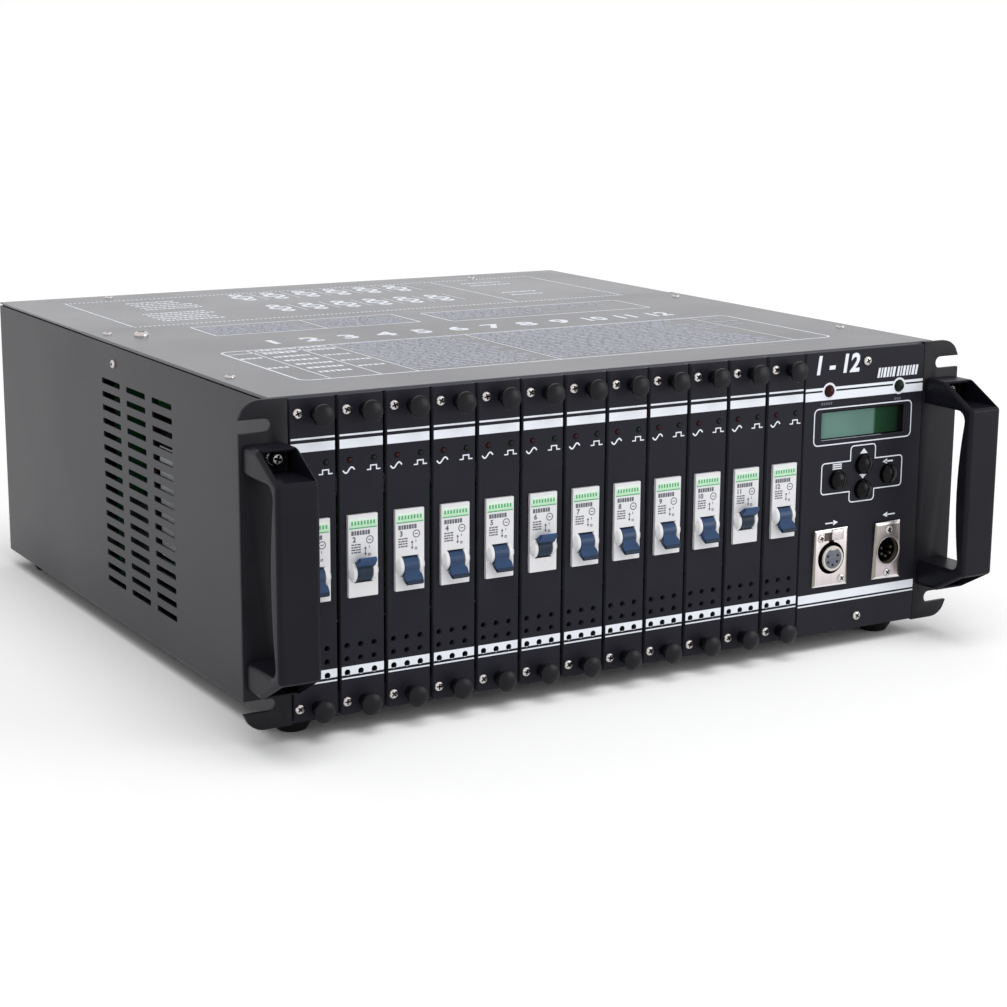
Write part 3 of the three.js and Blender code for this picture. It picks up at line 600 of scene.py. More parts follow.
def chassis_shape():
    """Floor and slotted sides, with flanges under the covers and lips for the rear panel."""
    bend, inner_bend, wall_top = 2.4, 0.9, TRAY_TOP - 0.7
    half, inside = CHASSIS_HALF, INSIDE_HALF
    outline = [
        (-half, wall_top),
        *arc(bend - half, bend, bend, 0.5, 0.75, 5),
        *arc(half - bend, bend, bend, 0.75, 1, 5),
        (half, wall_top),
        (inside, wall_top),
        *arc(inside - inner_bend, SHEET + inner_bend, inner_bend, 1, 0.75, 4),
        *arc(inner_bend - inside, SHEET + inner_bend, inner_bend, 0.75, 0.5, 4),
        (-inside, wall_top),
    ]
    tray = slab(outline, -CHASSIS_DEPTH, -PANEL - SEAT)
    slot_y, slot_length, slot_step = 138, 30.5, 41.2
    slot_z, slot_height, row_step = 23.8, 3.5, 8.3
    slots = []
    for low, high in ((-half - 1, 2 - half), (half - 2, half + 1)):
        for y in [slot_y + column * slot_step for column in range(3)]:
            for z in [slot_z + row * row_step for row in range(16)]:
                slots.append(slab(rectangle((y, y + slot_length), (z, z + slot_height), 0.9, 3), low, high, RIGHT))
    tray = shaped(tray, together(*slots))
    rear_lip = (1.8 - CHASSIS_DEPTH, 3.3 - CHASSIS_DEPTH)
    flanges = []
    for side in (-1, 1):
        x = sorted((side * inside, side * (inside - 15)))
        flanges.append(block(x, (TRAY_TOP - SHEET, TRAY_TOP), (1.8 - CHASSIS_DEPTH, -13.6)))
        x = sorted((side * inside, side * (inside - 12)))
        flanges.append(block(x, (0.5, TRAY_TOP - 0.1), rear_lip))
    return together(tray, *flanges)


def front_cover_shape():
    """The front cover, its front edge bent round."""
    low, high, bend = PANEL_HEIGHT - COVER, PANEL_HEIGHT, 1.5
    front = PANEL + SEAT
    outline = [(front, low), *arc(front + bend, high - bend, bend, 0.5, 0.25, 5), (SEAM_Y, high), (SEAM_Y, low)]
    return rounded(slab(outline, -CHASSIS_HALF - SEAT, CHASSIS_HALF + SEAT, RIGHT), 0.4, 2, 50)


rear_cover_z = (PANEL_HEIGHT - COVER, PANEL_HEIGHT - COVER + REAR_COVER)
rear_cover_top = rear_cover_z[1]
rear_cover = block((-CHASSIS_HALF, CHASSIS_HALF), (SEAM_Y + 0.4, CHASSIS_DEPTH), rear_cover_z, 0.45, TOP)
piece("chassis_shell", chassis_shape(), chassis_paint, ["chassis_tray"])
piece("front_top_cover", front_cover_shape(), cover_painted_sheen, ["top_cover_front"], even=True)
piece("rear_top_cover", rear_cover, rear_cover_painted_sheen, ["top_cover_rear"], even=True)


def ear_shape():
    """The right ear. The left one is its mirror image."""
    slot_half, slot_depth, slot_inset, corner = 7.1 / 2, 18, 13.4, 12
    outline = [(BAY_HALF, 0)]
    outline += arc(RACK_HALF - corner, corner, corner, 0.75, 0.9, 6)
    for z in (slot_inset, PANEL_HEIGHT - slot_inset):
        outline.append((RACK_HALF, z - slot_half))
        outline += arc(RACK_HALF - slot_depth + slot_half, z, slot_half, -0.25, -0.75, 10)
        outline.append((RACK_HALF, z + slot_half))
    outline += arc(RACK_HALF - corner, PANEL_HEIGHT - corner, corner, 0.1, 0.25, 6)
    outline.append((BAY_HALF, PANEL_HEIGHT))
    plate = sheet(outline, [], -PANEL, 0, FRONT, 0.4)
    outside = INSIDE_HALF - SEAT
    back = block((outside - 2, outside), (1.8, TRAY_TOP - 1.8), (-PANEL - 25, -0.5), 0.4)
    return together(plate, back)


def handle_shape():
    """The right carrying handle: a moulded bow, hollow at each sloping end."""
    half, reach, flat, drop = 65.5, 42.0, 17.0, 14.0
    finger, grip, swell = 49.5, 36.0, 5.0
    centre, width, edge = RACK_HALF - 27.5 / 2, 24.0, 2.8
    grip_line = [
        (-grip + swell * (1 - (z / finger) ** 2), z, 0) for z in [finger * (t / 6 - 1) for t in range(1, 12)]
    ]
    corners = [
        (4, half, 0), (-flat, half, 5), (-reach, half - drop, 2.5),
        (-reach, drop - half, 2.5), (-flat, -half, 5), (4, -half, 0),
        (4, -finger, 0), (-grip, -finger, 6), *grip_line, (-grip, finger, 6), (4, finger, 0),
    ]
    outline = [(a, b + MIDDLE_Z) for a, b in eased(corners)]
    bow = sheet(outline, [], centre - width / 2, centre + width / 2, RIGHT, edge, 4)
    whole = bow.verts[:] + bow.edges[:] + bow.faces[:]
    bmesh.ops.bisect_plane(bow, geom=whole, plane_co=(0, -SEAT, 0), plane_no=(0, 1, 0), clear_outer=True)
    bmesh.ops.holes_fill(bow, edges=[e for e in bow.edges if e.is_boundary])
    wall, thin, rim, past = 2.1, 2.0, 1.3, 4
    for end in (-1, 1):
        pocket = [
            (-7, finger + thin), (-7, half - wall), (0.3 - flat, half - wall),
            (0.3 - flat, half + past), (rim - reach, half + past), (rim - reach, finger + thin),
        ]
        pocket = [(a, end * b + MIDDLE_Z) for a, b in pocket]
        hollow = slab(pocket, centre - width / 2 + wall, centre + width / 2 - wall, RIGHT)
        bow = shaped(bow, rounded(hollow, 1.0, 3, 50))
    return bow


FOOT_PROFILE = [(0, -10), (7.4, -10), (8.2, -9.7), (8.6, -8.9), (13.4, -1.0), (14, -0.3), (0, -0.3)]
ear, handle, foot = ear_shape(), handle_shape(), turned(FOOT_PROFILE, 0, 0, 28, TOP)
bolt_x, bolt_washer = RACK_HALF - 15.6, [(0, 7), (4.2, 7), (4.2, 8), (3.9, 8.3), (0, 8.3)]
for word, side in (("left", -1), ("right", 1)):
    mirror = MIRRORED if side < 0 else Matrix.Identity(4)
    piece(f"ear_plate_{word}", moved(ear, mirror), ear_paint, [f"rack_ear_{word}"])
    piece(
        f"carrying_handle_{word}", moved(handle, mirror), handle_black, [f"handle_{word}"], even=True
    )
    bolts = []
    for z in (147.2, 28.8):
        bolts.append(turned(bolt_washer, bolt_x, z))
        bolts.append(screw(bolt_x, z, 8.3, FRONT, 7.2, 5.2, 0.04))
    piece(f"handle_bolts_{word}", moved(together(*bolts), mirror), SCREWS)
    for place, y in (("front", 24), ("rear", CHASSIS_DEPTH - 24)):
        at = (side * (CHASSIS_HALF - 19.4), y, 0)
        piece(f"rubber_foot_{place}_{word}", foot, rubber, [f"foot_{place}_{word}"], shift=at)

# Screws of the covers and sides
front_places = ((-213.5, 74.4, 0.02), (-213.4, 264.1, 0.11), (210, 260, 0.05), (211, 77.7, 0.16))
cover_screws = [
    *screws(front_places, PANEL_HEIGHT, TOP, 5.8, 1.1),
    *screws(((-148, 439, 0.07), (138.5, 429, 0.13)), rear_cover_top, TOP, 5.8, 1.1),
    screw(-197.3, 248, PANEL_HEIGHT, TOP, 9.0, 2.3, 0.09),
    screw(-230, 162.6, CHASSIS_HALF, LEFT, 5.4, 1.4, 0.03),
    screw(230, 162.6, CHASSIS_HALF, RIGHT, 5.4, 1.4, 0.12),
]
piece("cover_screws", together(*cover_screws), SCREWS)

# Dimmer modules, drawn round X = 0
PLATE_HALF = (PITCH - 2.4) / 2
NOSE_HALF = 8.8
WINDOW_HALF = NOSE_HALF + SEAT
NOSE = span(MIDDLE_Z, 45)
NOTCHES = ((103.3, 108.3), (69.0, 73.5))
NOTCH_END = 9.9
VENT_X = (-9.3, -1.2, 6.9)
VENT_Z = (24.3, 31.7, 39.1)
LAMP_X, LAMP_Z = (-6.8, 7.4), 140.1
HOLE = 3.3


def vents(rows, diameter=HOLE):
    return [circle(x, z, diameter, 16) for z in rows for x in VENT_X]


def plate_shape(low, high, edge):
    notches = []
    for bottom, top in NOTCHES:
        notches += [(-WINDOW_HALF, top), (-NOTCH_END, top), (-NOTCH_END, bottom), (-WINDOW_HALF, bottom)]
    window = rectangle((-WINDOW_HALF, WINDOW_HALF), (NOSE[0] - SEAT, NOSE[1] + SEAT)) + notches
    holes = [window, *vents(VENT_Z), *[circle(x, LAMP_Z, HOLE, 16) for x in LAMP_X]]
    return sheet(rectangle((-PLATE_HALF, PLATE_HALF), PANEL_Z, 0.8, 2), holes, low, high, FRONT, edge)


def front_plate_shape():
    """The plate behind its painted skin, with dark fillings in the notches of the window, a painted shadow."""
    fillings = together(*[block((-9.85, -8.85), (low - 0.2, high + 0.2), (-2.9, -0.5)) for low, high in NOTCHES])
    # The fillings take the near-black second finish, a painted shadow in the notches.
    for face in fillings.faces:
        face.material_index = 1
    return together(plate_shape(*PLATE_BACK), fillings)


def knob_shape():
    """The two pull knobs: a narrow neck behind a domed cap."""
    profile = [(0, -SKIN), (3.6, -SKIN), (3.6, 5.2), (4.4, 6.6), (5.8, 7.3), (6.15, 7.9), (6.15, 9.0), (6.0, 9.5)]
    profile += [(5.4, 9.95), (4.4, 10.35), (3.0, 10.7), (1.5, 10.9), (0, 10.95)]
    return together(*[turned(profile, x, z, 32) for x, z in ((0.9, 7.6), (2.3, PANEL_HEIGHT - 9.6))])


def plate_print_shape():
    across = (0.18 - PLATE_HALF, PLATE_HALF - 0.18)
    parts = [ink(across, z) for z in ((153.1, 154.1), (146.5, 151.3), (20.7, 21.5))]
    parts.append(sheet(rectangle(across, (22.9, 27.7)), vents(VENT_Z[:1], 3.5), 0, INK))
    # A wave for the mains lamp and a step for the signal lamp
    wave = [(-7.4 + 3.4 * t / 8, 134.7 + 1.5 * math.sin(t / 8 * math.pi)) for t in range(-8, 9)]
    step = [(3.2, 133.9), (5.4, 133.9), (5.4, 136.1), (8.9, 136.1), (8.9, 133.9), (11.2, 133.9)]
    return together(*parts, line(wave, 0.8, 0), line(step, 0.65, 0))


def lamp_shape(x):
    return turned([(0, -4), (1.45, -4), (1.45, -0.2), (1.2, 0.35), (0.7, 0.65), (0, 0.75)], x, LAMP_Z, 16)


# Breakers. The lever's pivot lies at Y and Z of DIAL, and its well and cheeks are round it.
FACE = 1.5
DIAL = (1.5, 79.1)
LEVERS_UP = (2, 6, 11)
THROW = 43


def breaker_shape():
    """Stepped case, a round well for the lever and two round cheeks beside it."""
    body, depth, step = (48, 128), 58, 16
    outline = [(depth, body[0]), (depth, body[1]), (step, body[1]), (step, NOSE[1])]
    outline += [(-FACE, NOSE[1]), (-FACE, NOSE[0]), (step, NOSE[0]), (step, body[0])]
    case = rounded(slab(outline, -NOSE_HALF, NOSE_HALF, RIGHT), 0.4, 2)
    case = shaped(case, turned([(0, -5.4), (6.4, -5.4), (6.4, 5.4), (0, 5.4)], *DIAL, 40, RIGHT))
    cheek = [(0, 4.75), (5.7, 4.75), (5.9, 4.95), (5.9, 6.5), (5.6, 7.0), (3.6, 8.7), (0, 8.8)]
    return together(case, *[turned([(r, c * side) for r, c in cheek], *DIAL, 40, RIGHT) for side in (-1, 1)])


def thrown(shape, up):
    """Turns a lever about its pivot to where it rests."""
    return moved(shape, Matrix.Rotation(math.radians(-THROW if up else THROW), 4, "X"))


def lever_shape(up):
    """Drum and blade, turned about the pivot to where the lever rests. A raised lever's tip takes the second finish, a
    painted highlight.
    """
    drum, root = 5.5, 1.9
    turn = math.asin(root / drum) / math.tau
    side_view = arc(0, 0, drum, turn - 0.5, 0.5 - turn, 30)
    side_view += with_mirror([(-7.9, 1.62), (-12.2, 0.8), (-12.6, 0.5)], 1, -1)
    front_view = with_mirror([(4.35, 6), (4.35, -5.9), (5.4, -7.7), (5.4, -10.4), (4.75, -12.7)])
    blade = shaped(slab(side_view, -6.4, 6.4, RIGHT), slab(front_view, -7, 7, TOP), "INTERSECT")
    blade = rounded(blade, 0.22, 2)
    tip_start = -8
    # On a raised lever the tip takes the second finish, a painted highlight.
    for face in blade.faces:
        if up and face.calc_center_median().y < tip_start:
            face.material_index = 1
    return thrown(blade, up)


def lever_end_shape(up):
    """The moulded edge round the blade's end, in a painted shade on a lowered lever and a painted highlight on a
    raised one, and a rib in the second finish across the drum, a painted shadow line.
    """
    end = slab(with_mirror([(-11.1, 1.08), (-12.3, 0.9), (-12.75, 0.55)], 1, -1), -6, 6, RIGHT)
    end = shaped(end, slab(with_mirror([(5.28, -11), (4.8, -12.8)]), -2, 2, TOP), "INTERSECT")
    rib = block((-4.4, 4.4), (-0.55, 0.55), (5.0, 5.62), 0.12)
    rib.transform(Matrix.Rotation(math.radians(104 if up else -104), 4, "X"))
    # The rib across the drum is a painted shadow line.
    for face in rib.faces:
        face.material_index = 1
    return thrown(together(end, rib), up)


def label_shapes():
    """The breaker's label: a green band, a darker line with ticks, then grey marks."""
    c = FACE
    across = (-8.1, 8.1)
    ticks = [ink(span(-6.5 + i * 1.86, 1.05), (104.9, 107.0), c + INK) for i in range(8)]
    marks = []
    for z, widths, height in (
        (100.6, (1.5, 1.0, 1.4, 1.1, 1.5, 1.0, 1.4), 2.4),
        (94.3, (1.6, 1.2, 2.0), 0.75), (92.9, (1.2, 2.2, 1.4), 0.75),
        (91.5, (2.4, 1.0, 1.4), 0.75), (90.1, (1.0, 2.0, 1.8), 0.75),
    ):
        x = -7.0
        for width in widths:
            marks.append(ink((x, x + width), span(z, height), c))
            x += width + 0.35
    marks += [ring(3.9, 96.4, 4.4, 0.5, c), line([(3.0, 96.4), (4.8, 96.4)], 0.5, c)]
    marks.append(line([(1.3, 88.3), (1.3, 92.6)], 0.4, c))
    for z, way in ((88.0, 1), (92.9, -1)):
        marks.append(slab([(1.3, z), (1.3 + 0.8 * way, z + 1.3 * way), (1.3 - 0.8 * way, z + 1.3 * way)], c, c + INK))
    marks += [ink((3.4, 3.8), (91.8, 93.2), c), ring(3.6, 88.4, 1.6, 0.4, c)]
    return ink(across, (103.6, 108.6), c), together(ink(across, (102.9, 103.5), c), *ticks), together(*marks)


# Inside a module
BOARD_X = 9.1


def sink_shape():
    """Base plate with long fins and the arm that carries it."""
    left, bottom, height, base, deep, fins = -11.0, 52.0, 67.0, 3, 14.0, 10
    root, tip = left + base, left + base + deep
    outline = [(left, bottom)]
    for z in [bottom + k * (height - 1.4) / (fins - 1) for k in range(fins)]:
        outline += [(root, z), (tip, z + 0.2), (tip, z + 1.2), (root, z + 1.4)]
    # The top fin's back slopes down from the corner of the base plate
    outline[-1] = (left, bottom + height)
    arm = block((left, left + 1.9), (bottom, bottom + height), (-65, -PANEL), 0.3)
    return together(slab(outline, -188, -62), arm)


def choke_shape():
    """A toroid wound with heavy wire: a ring of turns round one torus of core."""
    core_radius, gauge, coil_radius, winds = 17.0, 1.9, 5.9, 26
    turns = []
    for k in range(winds):
        coil = bmesh.new()
        section = Matrix.Translation((coil_radius, 0, 0)) @ Matrix.Rotation(math.pi / 2, 4, "X")
        bmesh.ops.create_circle(coil, segments=6, radius=gauge / 2, matrix=section)
        spun(coil, coil.verts[:] + coil.edges[:], (0, 1, 0), 14)
        # Each turn lies in a plane through the toroid's axis
        angle = (0.06 + 0.88 * k / (winds - 1)) * math.tau
        coil.transform(Matrix.Rotation(angle, 4, "X") @ Matrix.Translation((0, 0, core_radius)))
        turns.append(coil)
    wound = together(*turns)
    bmesh.ops.recalc_face_normals(wound, faces=wound.faces)
    section = [(core_radius + 4.9 * math.cos(t), 4.9 * math.sin(t)) for t in [math.tau * i / 12 for i in range(13)]]
    core = turned(section, 0, 0, 32, RIGHT)
    for shape in (wound, core):
        shape.transform(Matrix.Translation((2.7, 216, 110)))
    return wound, core


def board_parts():
    """Film capacitor, resistors and a fuse holder on the power board."""
    capacitor = block((BOARD_X - 9, BOARD_X + 0.2), (128, 146), (-150, -124), 0.8)
    parts = []
    for y, z in ((90, 134), (108, 134), (196, 138)):
        parts.append(block((BOARD_X - 5, BOARD_X + 0.2), (z, z + 8), (-y - 12, -y), 0.5))
    for z in (28, 34, 40):
        rod = turned([(0, 0), (1.4, 0), (1.6, 1), (1.6, 8), (1.4, 9), (0, 9)], BOARD_X - 1.4, z, 12)
        rod.transform(Matrix.Translation((0, 120, 0)))
        parts.append(rod)
    return capacitor, together(*parts)


winding, core = choke_shape()
capacitor, small_parts = board_parts()
board = block((BOARD_X, BOARD_X + 1.6), (14.3, 161.7), (-240, -1.5), 0.2)
plug = block((-4.9, 9.9), (24, 74), (-245.7, -226), 0.6)

# Name, shape, finish, slot and even shading of what every module has
TEMPLATES = [
    ("front_plate", front_plate_shape(), (edge_painted_light, painted_recess_shadow), "black_paint", False),
    ("plate_face", plate_shape(*PLATE_SKIN), black_paint, "black_paint", True),
    ("pull_knobs", knob_shape(), knob_black, "black_plastic", False),
    ("plate_print", plate_print_shape(), white_ink, None, False),
    ("mains_lamp", lamp_shape(LAMP_X[0]), red_lens, None, False),
    ("signal_lamp", lamp_shape(LAMP_X[1]), green_lens, None, False),
    ("heat_sink", sink_shape(), aluminium, "module_metal", False),
    ("power_board", board, board_green, "circuit_board", False),
    ("module_plug", plug, moulding, "black_plastic", False),
    ("choke_winding", winding, copper, None, False),
    ("choke_core", core, moulding, None, False),
    ("film_capacitor", capacitor, film, None, False),
    ("board_parts", small_parts, moulding, None, False),
]
breaker = breaker_shape()
green_band, green_marks, grey_marks = label_shapes()
levers = {up: (lever_shape(up), lever_end_shape(up)) for up in (False, True)}

for k in range(1, MODULES + 1):
    body = f"module_{k}"
    at = ((k - 0.5) * PITCH - BAY_HALF, 0, 0)
    for word, shape, look, slot, even in TEMPLATES:
        stands_for = [f"dimmer_module_{k}"] if word == "front_plate" else ()
        piece(f"{word}_{k}", shape, look, stands_for, body, at, even)
    spin = (k * 0.37) % 0.25
    plate_places = [(x, z, spin + z / 900) for x, z in ((-9.8, 8.3), (-8.7, 167.2))]
    plate_screws = screws(plate_places, 0, FRONT, 5.6, 1.5)
    piece(f"plate_screws_{k}", together(*plate_screws), SCREWS, (), body, at)
    piece(f"breaker_case_{k}", breaker, white_case, [f"breaker_{k}"], body, at, True)
    number = figure(str(k), 2.9, -5.3, 97.0, FACE, FRONT, 1, 0.15)
    for word, shape, look in (
        ("band", green_band, label_green),
        ("stripe", green_marks, label_dark_green),
        ("marks", together(grey_marks.copy(), number), label_grey),
    ):
        piece(f"breaker_{word}_{k}", shape, look, (), body, at)
    pivot = (at[0], *DIAL)
    is_up = k in LEVERS_UP
    lever, end = levers[is_up]
    # A raised lever's blade takes a painted shade and its tip a painted highlight. A lowered lever's end and every rib
    # take a painted shade.
    look = (lever_painted_shade, lever_tip_painted_highlight) if is_up else lever_blue
    end_look = (lever_tip_painted_highlight if is_up else lever_end_painted_shade, lever_end_painted_shade)
    piece(f"switch_lever_{k}", lever, look, [f"breaker_lever_{k}"], f"lever_{k}", pivot, True)
    piece(f"lever_end_{k}", end, end_look, (), f"lever_{k}", pivot)

# Control panel
CONTROL_X = 168.0
CONTROL_HALF = 45.5
BUTTONS = {"up": (169, 104.1), "down": (169, 88.8), "menu": (149.3, 96.45), "escape": (188.7, 96.45)}
LAMPS = {"red": (140.5, 151.4), "green": (194.6, 150.5)}
OUT, IN = (145.4, 48.7), (190.2, 48.1)
DISPLAY_Z = 129.54
WINDOW_OPENING = (121.3, 139.0)
WINDOW_X = (136.8, 197.6)
WINDOW_Z = (122.3, 138.0)


def control_plate_shape(low, high, edge):
    holes = [rectangle(span(CONTROL_X, 65.2), WINDOW_OPENING, 0.6, 2), circle(*OUT, 24.6, 40), circle(*IN, 21.6, 40)]
    holes += [circle(x, z, 7.6, 28) for x, z in LAMPS.values()]
    holes += [circle(x, z, 12.3, 32) for x, z in BUTTONS.values()]
    return sheet(rectangle(span(CONTROL_X, CONTROL_HALF * 2), PANEL_Z, 0.8, 2), holes, low, high, FRONT, edge)


def control_print_shape():
    across = span(CONTROL_X, CONTROL_HALF * 2 - 0.4)
    parts = []
    for band_z in ((152.1, 153.7), (146.0, 151.0)):
        band = slab(rectangle(across, band_z), 0, INK)
        for x, z in LAMPS.values():
            band = shaped(band, bar(x, z, 9.2, -1, 1, 32))
        parts.append(band)
    parts += [ring(x, z, 10.2, 1.3, 0.02) for x, z in LAMPS.values()]
    parts += [ink(across, (21.5, 26.7)), ink(across, (19.4, 20.3))]
    parts.append(frame_line((129.7, 205.6), (118.2, 141.2), 3.4, 0.7, 0))
    cross = [
        (159, 116.2, 2.2), (178.2, 116.2, 2.2), (178.2, 107.2, 0),
        (199.6, 107.2, 2.2), (199.6, 88.2, 2.2), (178.2, 88.2, 0),
        (178.2, 81.4, 2.2), (159, 81.4, 2.2), (159, 88.2, 0),
        (137.1, 88.2, 2.2), (137.1, 107.2, 2.2), (159, 107.2, 0),
    ]
    parts.append(line(eased(cross, 4), 0.7, 0, closed=True))
    # A list for the menu, up and down arrows, then a way back, signal out and signal in
    parts += [ink((145.4, 152.4), span(z, 0.75)) for z in (103.3, 104.6, 105.9)]
    parts.append(slab([(169.2, 114.1), (166.2, 110.9), (172.2, 110.9)], 0, INK))
    parts.append(slab([(169.2, 95.2), (172, 98.1), (166.4, 98.1)], 0, INK))
    parts += arrow((186.2, 192.4), 187.8, 184.4, 104.3, 0.9)
    parts += arrow((141.5, 148), 147.6, 151.2, 70, 0.8)
    parts += arrow((189.5, 196), 189.9, 186.3, 70.6, 0.8)
    parts.append(figure("1 - 12", 11.2, 145.4, 166.7, 0, FRONT, 0.95, 0.5, 0.15))
    # Leaning marks in the place of the second line
    x, foot_z, head_z, lean = 177.1, 156.6, 162.6, 1.1
    for k in range(13):
        width = (1.6, 1.1, 1.9)[k % 3]
        mark = [(x, foot_z), (x + width, foot_z), (x + lean + width, head_z), (x + lean, head_z)]
        parts.append(slab(mark, 0, INK))
        x += width + (1.7 if k == 5 else 0.85)
    return together(*parts)


def small_marks_shape():
    marks = []
    for x, z, widths in ((134.9, 143.9, (1.2, 1.0, 1.3, 1.0, 1.1)), (191.4, 142.7, (1.2, 1.4, 1.1))):
        for width in widths:
            marks.append(ink((x, x + width), span(z, 1.5)))
            x += width + 0.6
    return together(*marks)


def panel_lamp(x, z):
    dome = [(0, -6), (3.5, -6), (3.5, 0.1), (3.35, 0.8), (2.8, 1.5), (1.9, 2.1), (0.9, 2.4), (0, 2.45)]
    return turned(dome, x, z, 28)


def button_shape():
    profile = [(0, -7.7), (2.5, -7.7), (2.5, -4.5), (6.7, -4.5), (6.7, -3.3), (5.8, -3.3), (5.8, 1.6)]
    profile += [(5.8 * math.cos(t), 1.6 + 3.0 * math.sin(t)) for t in (0.25, 0.5, 0.8, 1.1, 1.35)]
    return turned([*profile, (0, 4.6)], 0, 0, 32)


panel_screws = screws(((168.5, 167.7, 0.07), (168.3, 9.1, 0.15)), 0, FRONT, 5.8, 1.7)
bezel = together(
    sheet(rectangle(span(CONTROL_X, 64.8), (121.5, 138.8)), [rectangle(WINDOW_X, WINDOW_Z)], -6, -1.7),
    block(span(CONTROL_X, 75.8), span(DISPLAY_Z, 27), (-15.7, -3.3), 0.4),
)
# A lighter bar below the window: a painted glint on the glass's lower edge.
lower_edge = block((136.8, 183), (120.95, 121.45), (-2.2, -0.6), 0.15)
piece("control_plate", control_plate_shape(*PLATE_BACK), edge_painted_light, ["control_panel"])
piece("control_face", control_plate_shape(*PLATE_SKIN), black_paint, even=True)
piece("control_print", control_print_shape(), white_ink)
piece("control_small_marks", small_marks_shape(), label_grey)
piece("panel_red_lamp", panel_lamp(*LAMPS["red"]), red_lens)
piece("panel_green_lamp", panel_lamp(*LAMPS["green"]), green_lens)
piece("panel_screws", together(*panel_screws), SCREWS)
piece("display_window", block(WINDOW_X, WINDOW_Z, (-2.4, -1.65)), glass)
piece("display_painted_glint_edge", lower_edge, text_ink)
piece("display_bezel", bezel, glass_black, ["display"])
button = button_shape()
for word, (x, z) in BUTTONS.items():
    name = f"{word}_button"
    piece(f"{word}_cap", button, button_black, [name], name, (x, 0, z))

# Female connector: plate with a latch tab, dark well, cream ring and the insert with five holes
PLATE_LEVEL = 1.9
PLUG_LEVEL = PLATE_LEVEL + 2.4


def five(x, z, radius):
    """Five places on a circle, with the gap at the top."""
    return [arc(x, z, radius, 0.75 + k * 0.155, 0.75 + k * 0.155, 1)[0] for k in range(-2, 3)]


def hoop(profile, centre, steps=40):
    """A closed profile, spun."""
    return turned([*profile, profile[0]], *centre, steps)


def flange_plate(a, b, centre, bore, chamfer):
    """A die-cast flange with a bore. Its side chamfers take the second finish, a painted shade, and the others take
    the third, a painted highlight.
    """
    plate = slab(rectangle(a, b), -1, PLATE_LEVEL)
    front = [e for e in plate.edges if all(v.co.y < 0.01 - PLATE_LEVEL for v in e.verts)]
    plate = shaped(bevelled(plate, front, chamfer, 1), bar(*centre, bore, -3, 4, 48))
    # Side chamfers take a painted shade, top and bottom chamfers a painted highlight.
    for face in plate.faces:
        if -0.9 < face.normal.y < -0.5:
            face.material_index = 1 if abs(face.normal.x) > abs(face.normal.z) else 2
    return plate


out_plate = flange_plate(span(145.3, 25.8), span(48.8, 35.6), OUT, 20, 1.2)
for cut in (block((139.8, 145.4), (59.6, 64.6), (0.9, 3)), block((143.3, 147.3), (56, 59.9), (-2, 3))):
    out_plate = shaped(out_plate, cut)
out_shell = together(
    turned([(0, -22), (12, -22), (12, 0.2), (10.1, 0.2), (10.1, -10), (0, -10)], *OUT, 40),
    turned([(9.85, -6), (10, -6), (10, 1.6), (9.85, 1.6)], *OUT, 40),
    hoop([(6.3, -10), (7.7, -10), (7.7, PLUG_LEVEL - 0.9), (6.3, PLUG_LEVEL - 0.9)], OUT),
)
cream = [(6.3, -1.2), (7.8, -1.2), (7.8, -0.5), (7.4, 0), (6.6, 0), (6.3, -0.3)]
key = block(span(OUT[0], 4.2), (OUT[1] + 5.2, OUT[1] + 6.6), (PLUG_LEVEL - 1.2, PLUG_LEVEL - 0.1), 0.2)
out_ring = together(hoop([(r, c + PLUG_LEVEL) for r, c in cream], OUT), key)
holes = [circle(x, z, 1.8, 12) for x, z in five(*OUT, 4.1)]
insert = sheet(circle(*OUT, 12.7, 40), holes, -6, PLUG_LEVEL - 0.5, FRONT, 0.15)
flange_looks = (nickel, nickel_painted_shade, nickel_painted_highlight)
piece("output_plate", out_plate, flange_looks, ["output_connector"])
# A brown fill in the recess beside the latch: a painted shade.
piece("latch_recess", block((139.6, 145.6), (59.4, 64.8), (0.2, 0.95), 0.1), latch_painted_shade)
piece("output_latch", block((145.2, 154.0), (59.6, 66.4), (1.0, 2.9), 0.7, segments=3), screw_steel)
piece("output_shell", out_shell, dark_well)
piece("output_ring", out_ring, insert_rim)
piece("output_insert", insert, insert_grey)
piece("output_insert_backing", bar(*OUT, 12.5, -7, 0.2), dark_well)

# Male connector: plate, round dark well and five pins
in_plate = flange_plate(span(189.9, 20.9), span(48.3, 36), IN, 17.4, 1.8)
in_rim = hoop([(8.3, 1.0), (8.9, 1.0), (9.2, 1.9), (9.0, 2.4), (8.6, 2.5), (8.3, 2.1)], IN)
in_shell = turned([(0, -22), (10.5, -22), (10.5, 0.2), (8.5, 1.3), (8.5, -12), (0, -12)], *IN, 40)
in_lip = hoop([(8.0, -1.6), (8.4, -1.6), (8.4, 0.6), (8.15, 0.8), (8.0, 0.3)], IN)
pin = [(0, -12.2), (0.85, -12.2), (0.85, -0.1), (0.6, 0.35), (0, 0.5)]
pins = together(*[turned(pin, x, z, 12) for x, z in five(*IN, 4.0)])
flange_places = ((137.2, 61.5, 0.03), (153.8, 35.1, 0.1), (190.1, 61.4, 0.06), (190.0, 34.2, 0.14))
in_looks = (nickel_painted_reflection, nickel_painted_shade, nickel_painted_highlight)
piece("input_plate", together(in_plate, in_rim), in_looks, ["input_connector"])
piece("input_shell", in_shell, dark_well)
piece("input_lip", in_lip, olive_well)
piece("input_pins", pins, pin_painted_shade)
piece("connector_screws", together(*screws(flange_places, PLATE_LEVEL, FRONT, 5.2, 0.9)), SCREWS)

# Inside: the cage, the backplane and the control board keep their solids
# The cage, zinc in itself, takes the black paint: a painted shade that keeps the grooves between the plates dark.
for name, look in (("card_cage", black_paint), ("backplane", backplane_zones), ("control_board", board_green)):
    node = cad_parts[name]
    node.data.materials.clear()
    node.data.materials.append(look)

